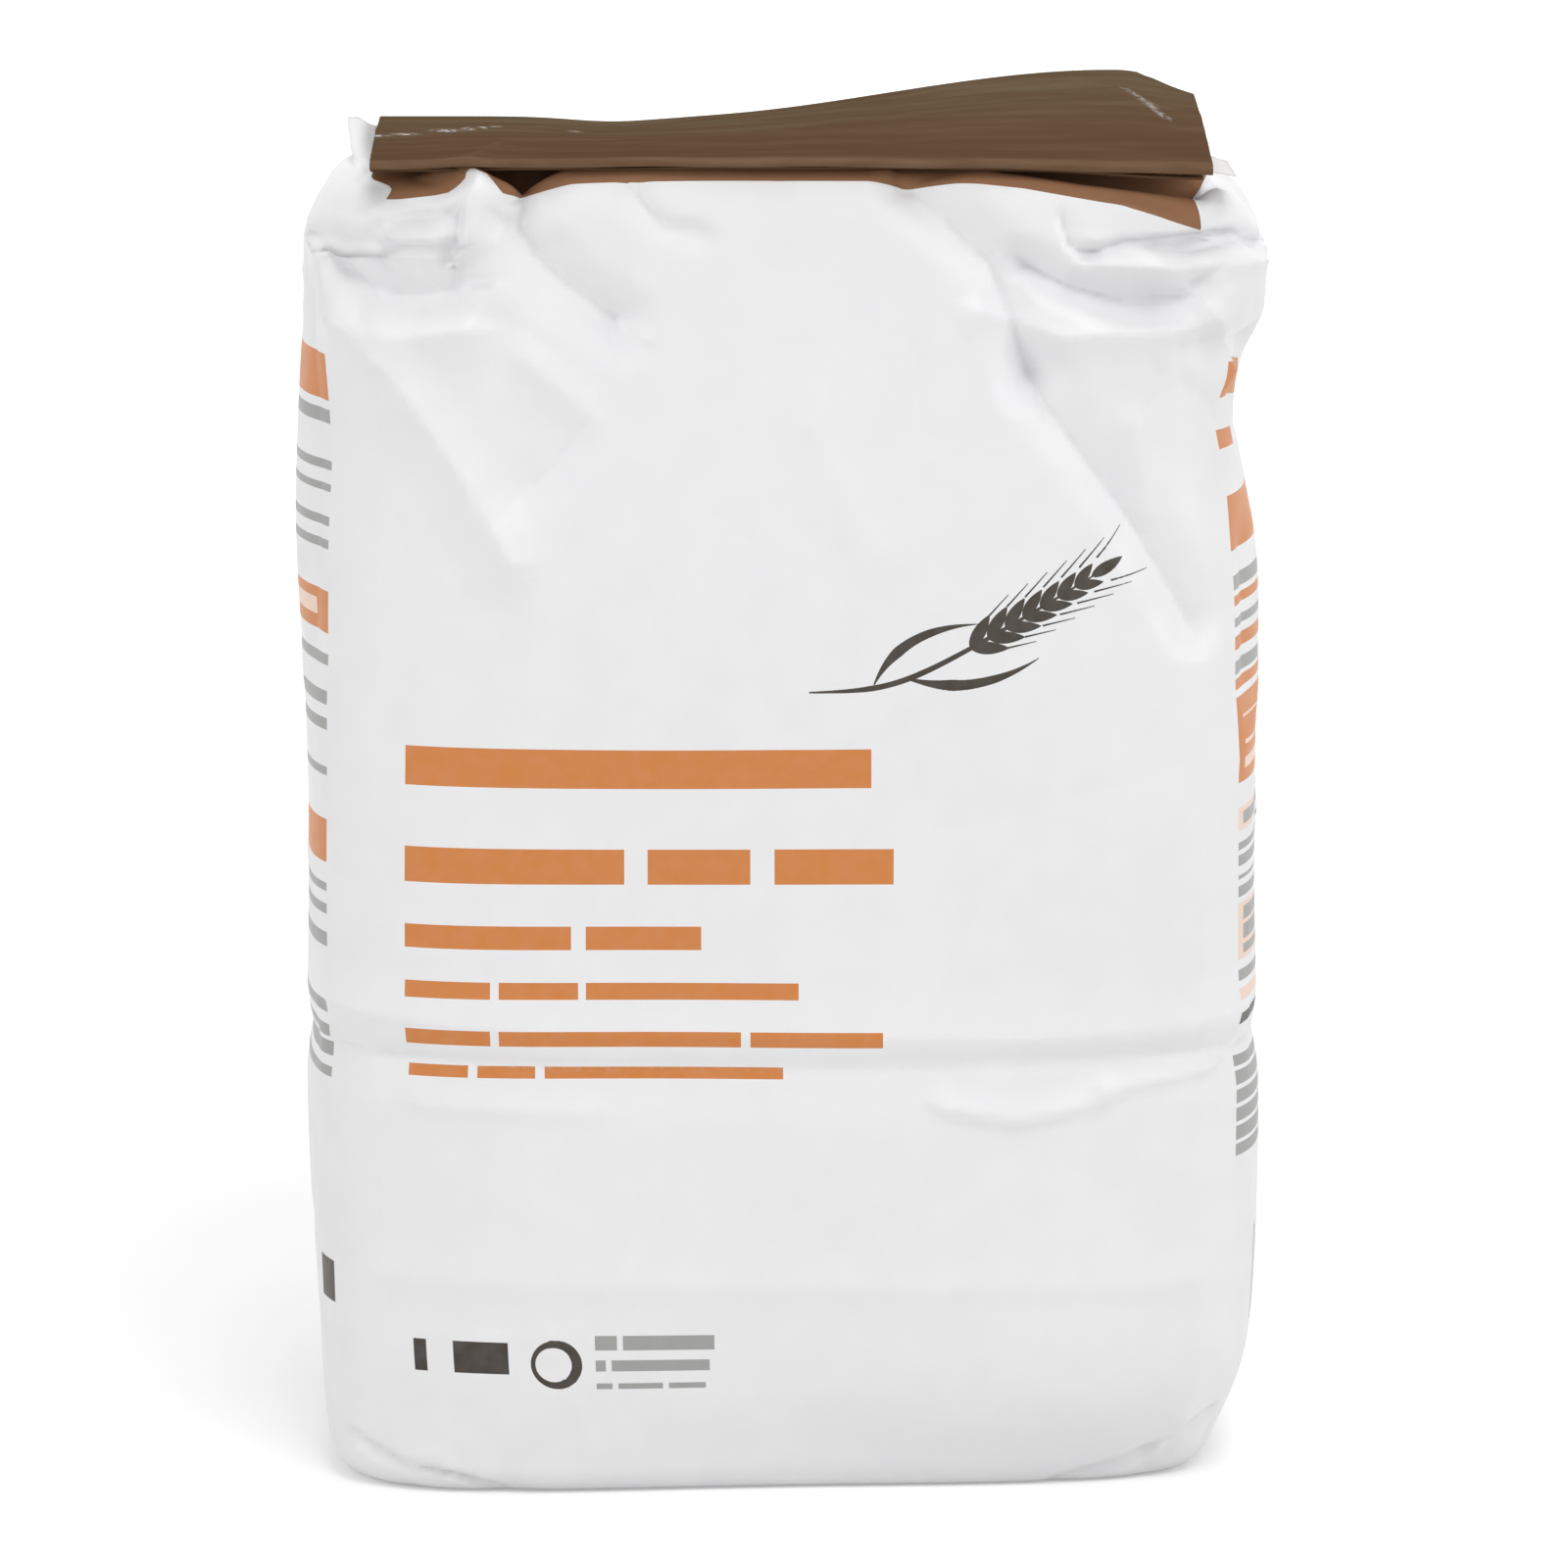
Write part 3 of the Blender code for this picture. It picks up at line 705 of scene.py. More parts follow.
def make_sack(paper, inks):
    """The paper sack, with its print as fields of its own faces."""
    bars = whole_print()
    run_edges = [edge for bar in bars for edge in bar[:2]] + [0.0] + all_panel_edges()
    rise_edges = [edge for bar in bars for edge in bar[2:4]]
    columns = sack_columns(run_edges)
    plain = np.arange(FOOT_RADIUS, 112.0, 0.72)
    folded = np.arange(112.0, SHOULDER_START + 0.1, 0.55)
    spaced = np.concatenate((plain, folded))
    wall_levels = with_edges(spaced, rise_edges, 0.3, 0.16)
    points, rise, wear = sack_surface(columns, wall_levels)
    level = int(np.argmin(np.abs(rise - PRINT_EDGE_LEVEL)))
    rise[level] = PRINT_EDGE_LEVEL
    row_count, column_count = points.shape[:2]
    faces = loop_faces(row_count, column_count)
    cell_inks = inks_of_cells(columns, rise, bars, points).ravel().tolist()
    foot = cap_faces(0, columns, True)
    top = cap_faces((row_count - 1) * column_count, columns, False)
    faces += foot + top
    across = points.reshape(-1, 3)[:, 0]
    cell_inks += [WHITE] * len(foot)
    cell_inks += [BROWN if between_fin_ends(across[list(face)]).all() else WHITE for face in top]
    sack = add_mesh("paper_sack", points.reshape(-1, 3), faces, [paper] + inks, cell_inks)
    add_values(sack, "fold_wear", wear)
    return sack, columns, rise, points


def place_on_sack(run, rise_at, columns, rise, points):
    """Where a place on the paper lies, and the paper's normal there."""
    column = np.interp(np.mod(run, GIRTH), columns, np.arange(len(columns)))
    row = np.interp(rise_at, rise, np.arange(len(rise)))
    low_column = np.clip(np.floor(column).astype(int), 0, len(columns) - 2)
    low_row = np.clip(np.floor(row).astype(int), 0, len(rise) - 2)
    part_column = (column - low_column)[..., None]
    part_row = (row - low_row)[..., None]
    found = []
    for grid in (points, grid_normals(points)):
        lower, upper = (
            grid[row, low_column] * (1 - part_column) + grid[row, low_column + 1] * part_column
            for row in (low_row, low_row + 1)
        )
        found.append(lower * (1 - part_row) + upper * part_row)
    return found


# ---- the wheat ear and the ring


def stroke(path, half_widths, steps=26, across=4):
    """A tapering brush stroke: places on the paper along a smooth path, and the share across it."""
    path = np.array(path, dtype=float)
    share = np.linspace(0.0, 1.0, steps)
    knots = np.linspace(0.0, 1.0, len(path))
    fit = np.polyfit(knots, path, min(len(path) - 1, 3))
    middle = np.stack([np.polyval(fit[:, axis], share) for axis in range(2)], axis=1)
    along = np.gradient(middle, axis=0)
    along /= np.linalg.norm(along, axis=1, keepdims=True)
    aside = np.stack((-along[:, 1], along[:, 0]), axis=1)
    half = np.interp(share, np.linspace(0.0, 1.0, len(half_widths)), half_widths)
    side = np.linspace(-1.0, 1.0, 2 * across + 1)
    places = middle[:, None, :] + aside[:, None, :] * (half[:, None] * side[None, :])[:, :, None]
    return places, np.broadcast_to(side, places.shape[:2])


def grain(base, angle, length, width):
    """One almond-shaped grain of the ear."""
    share = np.linspace(0.0, 1.0, 15)
    tip = base + towards(angle, length)
    middle = (base + tip) / 2.0
    half_widths = width * np.sin(np.pi * share**0.8) ** 0.8 / 2.0 + 0.02
    return stroke((base, middle, tip), half_widths, 15, 3)


def towards(angle, length):
    """A step of some length at an angle."""
    return length * np.array((math.cos(angle), math.sin(angle)))


def wheat_ear(along):
    """A generic ear of wheat on its stem, with two leaves."""
    strokes = [
        stroke(((3.0, 98.6), (12.0, 99.4), (21.0, 103.4), (38.6, 113.6)), (0.12, 0.4, 0.4, 0.3, 0.1), 60),
        stroke(((10.5, 99.5), (15.0, 104.6), (22.5, 106.6)), (0.1, 0.75, 0.55, 0.05), 30),
        stroke(((14.0, 100.3), (22.0, 99.6), (29.5, 102.6)), (0.1, 0.8, 0.55, 0.05), 30),
    ]
    ear_foot = np.array((21.6, 103.8))
    lean = math.radians(30.0)
    for pair in range(7):
        base = ear_foot + pair * towards(lean, 2.35)
        for side in (-1.0, 1.0):
            turn = lean + side * math.radians(30.0 - 1.5 * pair)
            strokes.append(grain(base, turn, 4.5 - 0.18 * pair, 1.75 - 0.06 * pair))
            tip = base + towards(turn, 4.3)
            end = tip + towards(lean + 0.3 * side, 3.4 + 0.25 * pair)
            strokes.append(stroke((tip, (tip + end) / 2.0, end), (0.16, 0.06), 8, 1))
    strokes.append(grain(ear_foot + towards(lean, 16.4), lean, 4.4, 1.6))
    return [(places + np.array((along, -0.8)), side) for places, side in strokes]


def ring_mark(along):
    """A plain ring."""
    turn = np.linspace(0.0, 2.0 * np.pi, 49)
    side = np.linspace(-1.0, 1.0, 5)
    radius = 2.6 + 0.42 * side[None, :] * (1.3 - 0.5 * np.cos(turn + np.pi))[:, None]
    run = along - 27.0 + radius * np.cos(turn)[:, None]
    rise = 17.4 + radius * np.sin(turn)[:, None]
    return [(np.stack((run, rise), axis=2), np.broadcast_to(side, run.shape))]


def strip_faces(rows, across, start):
    """Faces of a thin closed strip, whose upper points come first and its lower points after them."""
    under = start + rows * across
    faces = []

    def wall(here, there):
        faces.append((start + here, start + there, under + there, under + here))

    for row in range(rows - 1):
        for step in range(across - 1):
            here = row * across + step
            quad = (here, here + 1, here + across + 1, here + across)
            faces.append(tuple(start + corner for corner in quad))
            faces.append(tuple(under + corner for corner in quad[::-1]))
        wall(row * across, (row + 1) * across)
        wall((row + 2) * across - 1, (row + 1) * across - 1)
    last_row = (rows - 1) * across
    for step in range(across - 1):
        wall(step + 1, step)
        wall(last_row + step, last_row + step + 1)
    return faces


def make_marks(ink, columns, rise, points):
    """The drawn marks: low domes of ink whose rims sink into the paper."""
    all_points = []
    faces = []
    half = GIRTH / 2.0
    for places, side in wheat_ear(0.0) + ring_mark(0.0) + wheat_ear(half) + ring_mark(half):
        spot, normal = place_on_sack(places[:, :, 0], places[:, :, 1], columns, rise, points)
        top = spot + normal * (0.075 * (1.0 - side**2) - 0.02)[:, :, None]
        bottom = spot - normal * 0.05
        faces += strip_faces(*side.shape, len(all_points))
        all_points += top.reshape(-1, 3).tolist() + bottom.reshape(-1, 3).tolist()
    return add_mesh("ink_marks", all_points, faces, [ink])


# ---- the closure


def fin_top_height(x, share):
    """Height of the fin's upper face, from the ridge (share 0) to its front edge (share 1)."""
    edge = FIN_EDGE_HEIGHT - FIN_EDGE_SAG * ((x - FIN_EDGE_PEAK) / FIN_EDGE_SPAN) ** 2
    ridge = ridge_height(x)
    crown = FIN_CROWN * np.sin(np.pi * np.clip(share, 0.0, 1.0))
    return ridge + (edge - ridge) * share + crown


def fin_ends(share):
    """Left and right ends of the fin at a depth."""
    depth = np.clip(np.abs(share), 0.0, 1.0)
    right = FIN_RIGHT_AT_RIDGE + (FIN_RIGHT_AT_EDGE - FIN_RIGHT_AT_RIDGE) * depth
    right = right - FIN_CHAMFER * np.clip(1.0 - depth / FIN_CHAMFER_SHARE, 0.0, 1.0)
    left = FIN_LEFT + 0.3 * (1.0 - depth)
    return left, right


# The share of its depth at which the fin's sheet turns under.
FIN_TURN = 0.985

# The side fold's tab, as (left end, width, front edge, depth, height).
TAB = (43.0, 9.2, -33.5, 8.0, 157.5)

# Creases in the fin's upper face, as folds whose places are (x, distance from the ridge).
FIN_CREASES = (
    (((-49.0, 6.5), (-20.0, 5.0), (10.0, 7.0), (50.0, 5.0)), -0.08, 4.0, 5.0),
    (((-49.0, 14.5), (-28.0, 12.0)), 0.3, 2.5, 3.0),
    (((-40.0, 21.0), (0.0, 19.0), (50.0, 20.5)), 0.25, 5.0, 6.0),
    (((34.0, 4.0), (44.0, 14.0), (50.0, 17.0)), 0.35, 3.0, 3.0),
    (((30.0, 28.0), (51.0, 25.0)), 0.2, 3.0, 3.0),
    (((-10.0, 10.0), (8.0, 14.0)), 0.25, 4.0, 4.0),
    (((-37.0, 33.0), (-33.0, 24.0)), 0.3, 3.0, 4.0),
)


def fin_stations():
    """Stations along the folded sheet as (share of depth, drop below the upper face, layer)."""
    stations = [(share, 0.0, 0) for share in np.linspace(-0.32, -0.05, 7)]
    stations += [(share, 0.0, 0) for share in np.linspace(0.0, FIN_TURN, 40)]
    turn_radius = 0.36
    inner_radius = 0.3
    for angle in np.linspace(0.0, np.pi, 9)[1:]:
        share = FIN_TURN + turn_radius / FIN_DEPTH * math.sin(angle)
        stations.append((share, turn_radius * (1.0 - math.cos(angle)), 0))
    under = 2.0 * turn_radius
    stations += [(share, under, 1) for share in np.linspace(0.95, 0.35, 10)]
    for angle in np.linspace(0.0, np.pi, 7)[1:]:
        share = 0.35 - inner_radius / FIN_DEPTH * math.sin(angle)
        stations.append((share, under + inner_radius * (1.0 - math.cos(angle)), 1))
    stations += [(share, under + 2.0 * inner_radius, 2) for share in np.linspace(0.40, 0.945, 10)]
    return stations


def fin_row(share, drop, layer, columns, wear):
    """Points along the fin at one station, with the wear of its creases added."""
    left, right = fin_ends(share)
    x = np.linspace(left, right - 0.5 * layer, columns)
    y = np.full(columns, -RIDGE_SETBACK - FIN_DEPTH * share)
    if share < 0.0:
        back_fold = HALF_DEPTH - TOP_NARROWING - FRONT_ROLL
        slope = (y + RIDGE_SETBACK) / (back_fold + RIDGE_SETBACK)
        z = ridge_height(x) + (front_fold_height(x) - ridge_height(x)) * slope
        return lowered_at_back(np.stack((x, y, z), axis=1))
    relief = np.zeros(columns)
    for crease in FIN_CREASES:
        press_fold(x, np.full(columns, share * FIN_DEPTH), crease, relief, wear)
    under = min(drop, 1.0)
    opening = 1.0 + FIN_OPENING * ease((x - FIN_OPENING_START) / FIN_OPENING_LENGTH) * under
    z = fin_top_height(x, share) + relief * (1.0 - 0.7 * under) - drop * opening
    z += 0.06 * np.sin(0.31 * x + 2.0 * layer) * share
    return np.stack((x, y, z), axis=1)


def make_fin(brown, raw_edge):
    """The closure: one sheet folded forward over the top and twice back under itself."""
    stations = fin_stations()
    columns = 170
    wear = np.zeros((len(stations), columns))
    middle = np.array([fin_row(*station, columns, rubbed_and_highlit) for station, rubbed_and_highlit in zip(stations, wear)])
    # The sheet's rounded front edge takes a lighter brown through its wear value: a painted highlight along
    # the fold, with some rubbed ink.
    turned = [index for index, (share, _, layer) in enumerate(stations) if share > 0.975 and layer == 0]
    wear[turned] = 0.75
    ridge_index = next(index for index, (share, _, _) in enumerate(stations) if share >= 0.0)
    for index in (ridge_index - 1, ridge_index, ridge_index + 1):
        middle[index, :, 2] -= 0.12
    along = np.gradient(middle, axis=0)
    normal = np.stack((np.zeros(along.shape[:2]), along[:, :, 2], -along[:, :, 1]), axis=2)
    normal /= np.linalg.norm(normal, axis=2, keepdims=True)
    outer = middle + normal * SHEET_THICKNESS / 2.0
    inner = middle - normal * SHEET_THICKNESS / 2.0
    ring = np.concatenate((outer, inner[::-1]), axis=0)
    ring_wear_and_highlight = np.concatenate((wear, wear[::-1]), axis=0)
    count = ring.shape[0]
    points = ring.transpose(1, 0, 2).reshape(-1, 3)
    faces = loop_faces(columns, count)
    sheet_faces = len(faces)
    for column, flip in ((0, True), (columns - 1, False)):
        start = column * count
        for step in range(len(stations) - 1):
            corners = (start + step, start + step + 1, start + count - 2 - step, start + count - 1 - step)
            faces.append(corners[::-1] if flip else corners)
    face_materials = [0] * sheet_faces + [1] * (len(faces) - sheet_faces)
    fin = add_mesh("closure_fin", points, faces, [brown, raw_edge], face_materials)
    # On the closure these values hold crease wear and the painted highlight of the turned front edge.
    add_values(fin, "fold_wear", np.clip(ring_wear_and_highlight.T, 0.0, 1.0))
    add_values(fin, "scuff", fin_scuffs(points))
    # 1 at the ridge, falling to 0 at the front edge: how much painted sheen the brown takes there.
    depth = (-RIDGE_SETBACK - points[:, 1]) / FIN_DEPTH
    add_values(fin, "painted_ridge_sheen", ease(1.15 - 1.2 * depth))
    fin.data.set_sharp_from_angle(angle=math.radians(50.0))
    return fin


def fin_scuffs(points):
    """Where the brown is rubbed through: short streaks near the left end and one by the right corner."""
    x = points[:, 0]
    depth = -RIDGE_SETBACK - points[:, 1]
    scuff = np.zeros(len(points))
    wear = np.zeros(len(points))
    streaks = (
        (((-48.5, 17.4), (-42.5, 16.0)), 1.0, 0.5, 0.5),
        (((-41.0, 15.0), (-37.5, 14.4), (-32.5, 11.6)), 0.85, 0.45, 0.45),
        (((39.8, 8.0), (44.6, 17.5)), 0.45, 0.6, 0.6),
        (((-24.5, 13.0), (-23.5, 12.8)), 0.6, 0.4, 0.4),
    )
    for streak in streaks:
        press_fold(x, depth, streak, scuff, wear)
    top_side = points[:, 2] > fin_top_height(x, depth / FIN_DEPTH) - 0.3
    return scuff * top_side


def make_tab(raw_edge):
    """The end of the inner side fold, showing past the fin at the right."""
    left, width, front, depth, height = TAB
    steps = np.linspace(0.0, 1.0, 9)
    deep, across = np.meshgrid(steps, steps, indexing="ij")
    x = left + width * across - 0.9 * deep * (across > 0.8)
    y = front + depth * deep
    z = height - 0.8 * across**3 + 0.5 * deep
    corner = np.arange(deep.size).reshape(deep.shape)
    quads = np.stack((corner[:-1, :-1], corner[:-1, 1:], corner[1:, 1:], corner[1:, :-1]), axis=2)
    places = np.stack((x, y, z), axis=2).reshape(-1, 3)
    tab = add_mesh("side_fold_tab", places, quads.reshape(-1, 4).tolist(), [raw_edge])
    thick = tab.modifiers.new("paper", "SOLIDIFY")
    thick.thickness = 0.16 * MM
    thick.offset = 0.0
    return tab


# ---- the foot


def make_foot_flaps(paper):
    """The block bottom from below: two long flaps, one lapped over the other."""
    left, right, depth = (size - FOOT_RADIUS - 0.6 for size in half_sizes(0.0))
    corner_cut = 17.0
    left_cut = -left + corner_cut
    right_cut = right - corner_cut
    front = -depth + 5.0
    shapes = (
        ("foot_flap_inner", (-left + 6.0, right - 6.0, -9.0), (left_cut, right_cut, depth), 0.18),
        ("foot_flap_outer", (left_cut, right_cut, front), (-left + 5.0, right - 5.0, 8.0), 0.0),
    )
    thickness = 0.16
    flaps = []
    for name, near, far, base in shapes:
        plan = ((near[0], near[2]), (near[1], near[2]), (far[1], far[2]), (far[0], far[2]))
        points = [(x, y, base) for x, y in plan] + [(x, y, base + thickness) for x, y in plan]
        faces = [(3, 2, 1, 0), (4, 5, 6, 7)]
        faces += [(step, (step + 1) % 4, (step + 1) % 4 + 4, step + 4) for step in range(4)]
        flap = add_mesh(name, points, faces, [paper], smooth=False)
        soft = flap.modifiers.new("rounded_edges", "BEVEL")
        soft.width = 0.05 * MM
        soft.segments = 2
        flaps.append(flap)
    return flaps


# ---- materials


def linear(red, green, blue):
    """A colour given in 0 to 255 as seen, as shaders take it."""
    channels = []
    for value in (red, green, blue):
        share = value / 255.0
        channels.append(share / 12.92 if share <= 0.04045 else ((share + 0.055) / 1.055) ** 2.4)
    return (*channels, 1.0)


PAPER_WHITE = linear(236, 236, 237)
PAPER_SHADE = linear(229, 229, 231)
RAW_WHITE = linear(232, 230, 226)
BROWN_PRINT = linear(96, 72, 53)
# Olive grey brown for a painted sheen on the closure's top.
BROWN_PAINTED_SHEEN = linear(104, 90, 70)
# A lighter brown, painted light for the brown that the closure's overhang shades.
BROWN_WITH_PAINTED_LIGHT = linear(150, 110, 82)
# A lighter brown, both for ink rubbed along folds and for painted sheen streaks.
BROWN_RUBBED_AND_SHEEN = linear(132, 106, 84)
ORANGE_PRINT = linear(206, 127, 62)
DARK_PRINT = linear(56, 48, 38)
GREY_PRINT = linear(158, 158, 156)
PEACH_PRINT = linear(238, 212, 194)
FLOOR_PALE = (0.84, 0.84, 0.84, 1.0)
FLOOR_SHADE = (0.82, 0.82, 0.82, 1.0)
WHITE_LIGHT = (1.0, 1.0, 1.0, 1.0)
BLACK = (0.0, 0.0, 0.0, 1.0)


class Nodes:
    """Short names for placing and joining a tree's nodes."""

    def __init__(self, tree):
        self.tree = tree

    def add(self, kind, inputs=None, **settings):
        """A node with its settings and inputs, which may be values or other nodes' outputs."""
        node = self.tree.nodes.new(kind)
        for key, value in settings.items():
            setattr(node, key, value)
        for key, value in (inputs or {}).items():
            if isinstance(value, bpy.types.NodeSocket):
                self.tree.links.new(value, node.inputs[key])
            else:
                node.inputs[key].default_value = value
        return node

    def link(self, output, socket):
        """Join an output to a socket."""
        self.tree.links.new(output, socket)

    def place(self, scale=(1.0, 1.0, 1.0)):
        """The object's own space, drawn out where the scale is small."""
        place = self.add("ShaderNodeTexCoord").outputs["Object"]
        return self.add("ShaderNodeMapping", {"Vector": place, "Scale": scale}).outputs["Vector"]

    def noise(self, place, scale, detail=2.0):
        """Soft noise."""
        inputs = {"Vector": place, "Scale": scale, "Detail": detail}
        return self.add("ShaderNodeTexNoise", inputs).outputs["Fac"]

    def values(self, name):
        """The numbers stored on a piece's points."""
        return self.add("ShaderNodeAttribute", attribute_name=name).outputs["Fac"]

    def math(self, operation, first, second=0.0, clamp=False):
        """One sum of two numbers."""
        inputs = {0: first, 1: second}
        return self.add("ShaderNodeMath", inputs, operation=operation, use_clamp=clamp).outputs[0]

    def blend(self, share, first, second):
        """A mix of two colours."""
        node = self.add("ShaderNodeMix", {"Factor": share}, data_type="RGBA")
        for slot, value in ((6, first), (7, second)):
            if isinstance(value, bpy.types.NodeSocket):
                self.tree.links.new(value, node.inputs[slot])
            else:
                node.inputs[slot].default_value = value
        return node.outputs[2]

    def spread(self, value, low, high, to_low=0.0, to_high=1.0):
        """A number moved from one range to another."""
        inputs = {"Value": value, "From Min": low, "From Max": high, "To Min": to_low, "To Max": to_high}
        return self.add("ShaderNodeMapRange", inputs).outputs["Result"]


def new_group(name, inputs, outputs):
    """An empty shader group with named sockets."""
    tree = bpy.data.node_groups.new(name, "ShaderNodeTree")
    for label, kind, value in inputs:
        socket = tree.interface.new_socket(label, in_out="INPUT", socket_type=kind)
        socket.default_value = value
    for label, kind in outputs:
        tree.interface.new_socket(label, in_out="OUTPUT", socket_type=kind)
    nodes = Nodes(tree)
    return tree, nodes, nodes.add("NodeGroupInput"), nodes.add("NodeGroupOutput")


def paper_grain_group():
    """Fibres, soft mottling and fine tooth of machine-made paper, in the object's own space."""
    inputs = (("Fibre Scale", "NodeSocketFloat", 1800.0), ("Mottle Scale", "NodeSocketFloat", 160.0))
    outputs = (("Height", "NodeSocketFloat"), ("Mottle", "NodeSocketFloat"))
    tree, nodes, given, result = new_group("paper_grain", inputs, outputs)
    flat = nodes.noise(nodes.place((1.0, 1.0, 0.35)), given.outputs["Fibre Scale"])
    upright = nodes.noise(nodes.place((0.35, 0.35, 1.0)), given.outputs["Fibre Scale"])
    cloud = nodes.noise(nodes.place(), given.outputs["Mottle Scale"], 5.0)
    fibres = nodes.math("MULTIPLY", nodes.math("MAXIMUM", flat, upright), 0.7)
    height = nodes.math("ADD", fibres, nodes.math("MULTIPLY", cloud, 0.3))
    nodes.link(height, result.inputs["Height"])
    nodes.link(nodes.spread(cloud, 0.35, 0.65), result.inputs["Mottle"])
    return tree


def fold_rub_group():
    """Where folds have rubbed the paper: a broken line along each crest."""
    inputs = (("Patch Scale", "NodeSocketFloat", 900.0), ("Reach", "NodeSocketFloat", 0.5))
    tree, nodes, given, result = new_group("fold_rub", inputs, (("Mask", "NodeSocketFloat"),))
    noise = nodes.noise(nodes.place(), given.outputs["Patch Scale"], 3.0)
    broken = nodes.math("MULTIPLY", nodes.values("fold_wear"), nodes.spread(noise, 0.35, 0.6))
    edge = nodes.math("SUBTRACT", 1.0, given.outputs["Reach"])
    mask = nodes.math("DIVIDE", nodes.math("SUBTRACT", broken, edge), 0.3, clamp=True)
    nodes.link(mask, result.inputs["Mask"])
    return tree


def start_material(name):
    """A new material with its Principled shader."""
    material = bpy.data.materials.new(name)
    material.use_nodes = True
    return material, Nodes(material.node_tree), material.node_tree.nodes["Principled BSDF"]


def finish_paper(nodes, shader, grain, tone, roughness, tooth):
    """Join a paper's colour and roughness, and the fine relief of its surface in metres."""
    nodes.link(tone, shader.inputs["Base Color"])
    nodes.link(roughness, shader.inputs["Roughness"])
    height = {"Height": grain.outputs["Height"], "Strength": 0.5, "Distance": tooth}
    bump = nodes.add("ShaderNodeBump", height)
    nodes.link(bump.outputs["Normal"], shader.inputs["Normal"])


def white_paper(grain_tree, rub_tree):
    """Smooth, slightly glossy white paper."""
    material, nodes, shader = start_material("white_paper")
    grain = nodes.add("ShaderNodeGroup", node_tree=grain_tree)
    rub = nodes.add("ShaderNodeGroup", {"Reach": 0.75}, node_tree=rub_tree)
    mottle = grain.outputs["Mottle"]
    tone = nodes.blend(nodes.math("MULTIPLY", mottle, 0.35), PAPER_WHITE, PAPER_SHADE)
    tone = nodes.blend(nodes.math("MULTIPLY", rub.outputs["Mask"], 0.25), tone, PAPER_SHADE)
    shader.inputs["Specular IOR Level"].default_value = 0.45
    finish_paper(nodes, shader, grain, tone, nodes.spread(mottle, 0.0, 1.0, 0.40, 0.50), 0.00003)
    return material


def raw_paper(grain_tree):
    """The sheet's cut edge and its unprinted inner side."""
    material, nodes, shader = start_material("raw_paper")
    grain = nodes.add("ShaderNodeGroup", node_tree=grain_tree)
    mottle = grain.outputs["Mottle"]
    tone = nodes.blend(nodes.math("MULTIPLY", mottle, 0.5), RAW_WHITE, PAPER_SHADE)
    finish_paper(nodes, shader, grain, tone, nodes.spread(mottle, 0.0, 1.0, 0.7, 0.85), 0.00005)
    return material


def brown_print(name, colour, grain_tree):
    """Matt brown ink, rubbed through to the paper in places, with a painted sheen: olive grey towards the
    closure's ridge and lighter in lengthwise streaks.
    """
    material, nodes, shader = start_material(name)
    grain = nodes.add("ShaderNodeGroup", {"Mottle Scale": 90.0}, node_tree=grain_tree)
    drawn_out = nodes.place((0.12, 1.0, 1.0))
    streaks = nodes.noise(drawn_out, 420.0, 3.0)
    fine_streaks = nodes.noise(drawn_out, 1400.0)
    specks = nodes.noise(nodes.place(), 1500.0)
    # Olive grey towards the closure's ridge, in streaks: a painted sheen on the matt ink.
    painted_sheen = nodes.math("MULTIPLY", nodes.values("painted_ridge_sheen"), nodes.spread(streaks, 0.3, 0.65, 0.35, 1.0))
    # Lighter along folds: rubbed ink, and on the closure's turned front edge a painted highlight.
    rubbed_and_highlit = nodes.math("MULTIPLY", nodes.values("fold_wear"), nodes.spread(fine_streaks, 0.3, 0.7, 0.2, 0.7))
    rubbed_through = nodes.math("MULTIPLY", nodes.values("scuff"), nodes.spread(specks, 0.38, 0.55))
    tone = nodes.blend(painted_sheen, colour, BROWN_PAINTED_SHEEN)
    # Lighter lengthwise streaks: painted sheen bands.
    tone = nodes.blend(nodes.spread(streaks, 0.45, 0.8, 0.0, 0.25), tone, BROWN_RUBBED_AND_SHEEN)
    tone = nodes.blend(rubbed_and_highlit, tone, BROWN_RUBBED_AND_SHEEN)
    tone = nodes.blend(rubbed_through, tone, RAW_WHITE)
    shader.inputs["Specular IOR Level"].default_value = 0.0
    finish_paper(nodes, shader, grain, tone, nodes.spread(streaks, 0.3, 0.7, 0.55, 0.7), 0.00004)
    return material


def coloured_print(name, colour, grain_tree, rub_tree):
    """Ink on the white paper, a little uneven, thin where a fold rubs it."""
    material, nodes, shader = start_material(name)
    grain = nodes.add("ShaderNodeGroup", {"Mottle Scale": 500.0}, node_tree=grain_tree)
    rub = nodes.add("ShaderNodeGroup", {"Reach": 0.7}, node_tree=rub_tree)
    mottle = grain.outputs["Mottle"]
    tone = nodes.blend(nodes.math("MULTIPLY", mottle, 0.03), colour, PAPER_WHITE)
    tone = nodes.blend(nodes.math("MULTIPLY", rub.outputs["Mask"], 0.15), tone, PAPER_WHITE)
    shader.inputs["Specular IOR Level"].default_value = 0.4
    finish_paper(nodes, shader, grain, tone, nodes.spread(mottle, 0.0, 1.0, 0.38, 0.48), 0.00003)
    return material


# ---- floor, light and camera


def seen_plainly(nodes):
    """1 for rays from the camera or by way of a gloss or a clear piece, and 0 for light on the object."""
    path = nodes.add("ShaderNodeLightPath").outputs
    seen = nodes.math("MAXIMUM", path["Is Camera Ray"], path["Is Glossy Ray"])
    return nodes.math("MAXIMUM", seen, path["Is Transmission Ray"])


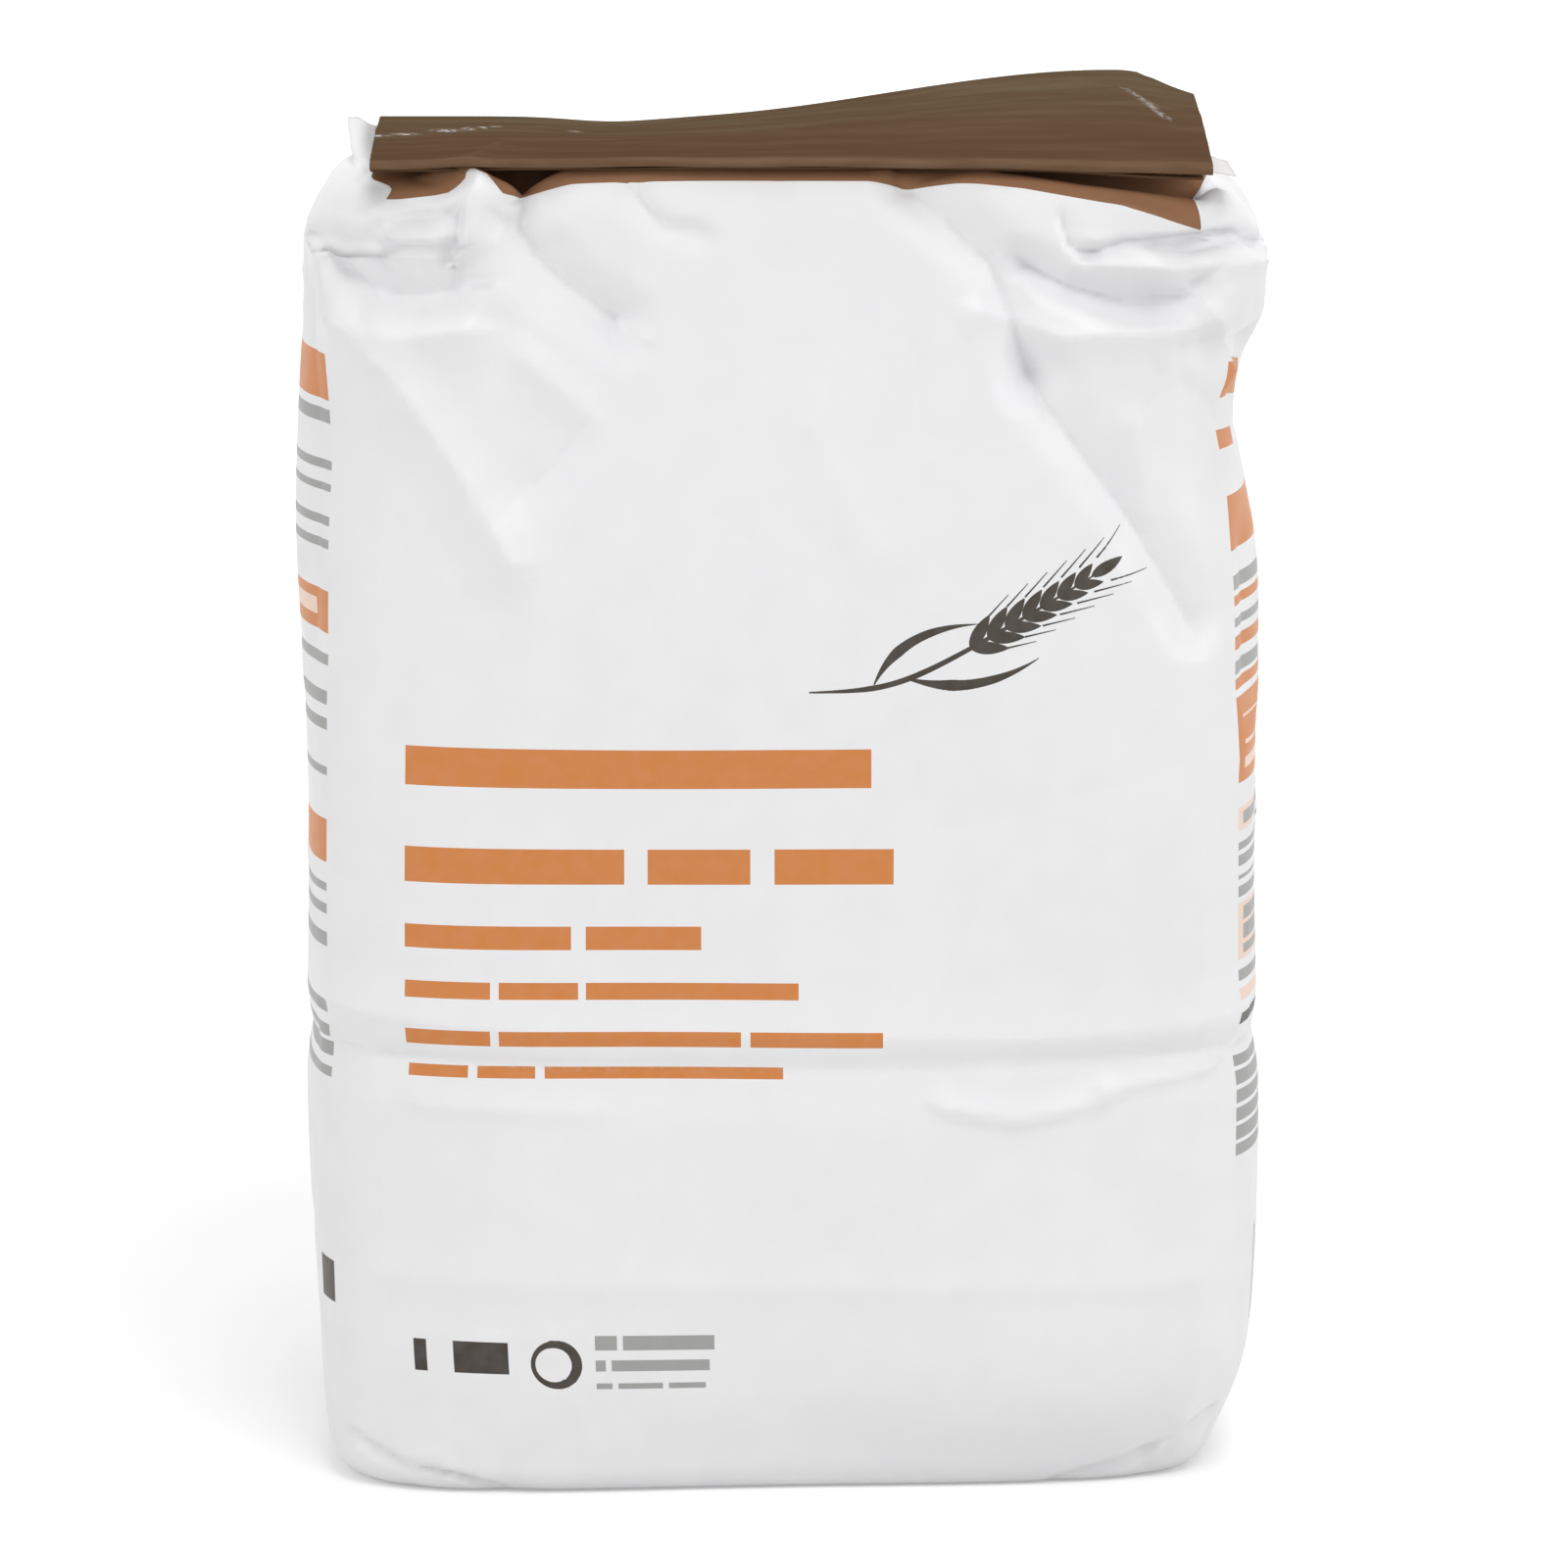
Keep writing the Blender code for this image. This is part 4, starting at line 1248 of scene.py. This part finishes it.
def make_stage():
    """A pale floor that runs up into a backdrop."""
    floor_end = 1.2
    bend = 0.6
    profile = [(-1.5, 0.0), (floor_end, 0.0)]
    for step in range(1, 9):
        angle = 0.5 * math.pi * step / 8.0
        profile.append((floor_end + bend * math.sin(angle), bend * (1.0 - math.cos(angle))))
    profile.append((floor_end + bend, 2.4))
    points = [(side * 2500.0, y / MM, z / MM) for y, z in profile for side in (-1.0, 1.0)]
    faces = [(2 * step, 2 * step + 1, 2 * step + 3, 2 * step + 2) for step in range(len(profile) - 1)]
    material, nodes, shader = start_material("pale_floor")
    place = nodes.place()
    cloud = nodes.math("MULTIPLY", nodes.noise(place, 3.0), 0.2)
    nodes.link(nodes.blend(cloud, FLOOR_PALE, FLOOR_SHADE), shader.inputs["Base Color"])
    away = nodes.add("ShaderNodeVectorMath", {0: place}, operation="LENGTH").outputs["Value"]
    lift = nodes.math("MULTIPLY", nodes.spread(away, 0.12, 0.9, 0.3, 0.8), seen_plainly(nodes))
    nodes.link(nodes.blend(lift, BLACK, WHITE_LIGHT), shader.inputs["Emission Color"])
    shader.inputs["Emission Strength"].default_value = 1.0
    shader.inputs["Roughness"].default_value = 0.9
    shader.inputs["Specular IOR Level"].default_value = 0.1
    stage = add_mesh("floor_and_backdrop", points, faces, [material])


def add_lamp(name, place, size, power):
    """A square soft lamp pointed at the middle of the bag."""
    data = bpy.data.lights.new(name, "AREA")
    data.size = size
    data.energy = power
    lamp = bpy.data.objects.new(name, data)
    lamp.location = place
    lamp.rotation_euler = (Vector((0.0, 0.0, 0.08)) - Vector(place)).to_track_quat("-Z", "Y").to_euler()
    bpy.context.scene.collection.objects.link(lamp)


def make_light():
    """Even studio light, from above, from the front and from both sides."""
    world = bpy.data.worlds.new("studio")
    bpy.context.scene.world = world
    world.use_nodes = True
    nodes = Nodes(world.node_tree)
    background = world.node_tree.nodes["Background"]
    background.inputs["Color"].default_value = WHITE_LIGHT
    nodes.link(nodes.spread(seen_plainly(nodes), 0.0, 1.0, 0.42, 1.0), background.inputs["Strength"])
    add_lamp("top_lamp", (0.1, 0.0, 1.35), 0.6, 4.6)
    add_lamp("key_lamp", (0.25, -0.9, 1.25), 0.5, 5.2)
    add_lamp("left_lamp", (-1.45, -0.8, 0.5), 0.7, 7.0)
    add_lamp("right_lamp", (1.4, -0.7, 0.5), 0.7, 6.0)


def make_camera():
    """Long lens, looking slightly down on the front."""
    elevation = math.radians(12.0)
    distance = 1.6
    view_width = 0.186
    aim = Vector((0.0001, 0.0, 0.0782))
    data = bpy.data.cameras.new("camera")
    data.sensor_width = 36.0
    data.lens = data.sensor_width * distance / view_width
    camera = bpy.data.objects.new("camera", data)
    camera.location = aim + distance * Vector((0.0, -math.cos(elevation), math.sin(elevation)))
    camera.rotation_euler = (math.pi / 2.0 - elevation, 0.0, 0.0)
    bpy.context.scene.collection.objects.link(camera)
    bpy.context.scene.camera = camera


# ---- putting it together


def build():
    """Make every piece and fasten it to the frame."""
    grain_tree = paper_grain_group()
    rub_tree = fold_rub_group()
    paper = white_paper(grain_tree, rub_tree)
    raw = raw_paper(grain_tree)
    brown = brown_print("brown_print", BROWN_PRINT, grain_tree)
    inks = [brown]
    for name, colour in (
        ("orange_print", ORANGE_PRINT),
        ("dark_print", DARK_PRINT),
        ("grey_print", GREY_PRINT),
        ("peach_print", PEACH_PRINT),
    ):
        inks.append(coloured_print(name, colour, grain_tree, rub_tree))
    # The same brown ink, lighter: painted light for the brown under the closure's overhang.
    inks.append(brown_print("brown_print_with_painted_light", BROWN_WITH_PAINTED_LIGHT, grain_tree))
    sack, columns, rise, points = make_sack(paper, inks)
    pieces = [sack, make_fin(brown, raw), make_tab(raw), make_marks(inks[DARK - 1], columns, rise, points)]
    pieces += make_foot_flaps(paper)
    for piece in pieces:
        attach(piece, "root")
    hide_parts("flour_bag")
    make_stage()
    make_light()
    make_camera()


build()
bpy.context.scene.view_settings.view_transform = "Standard"
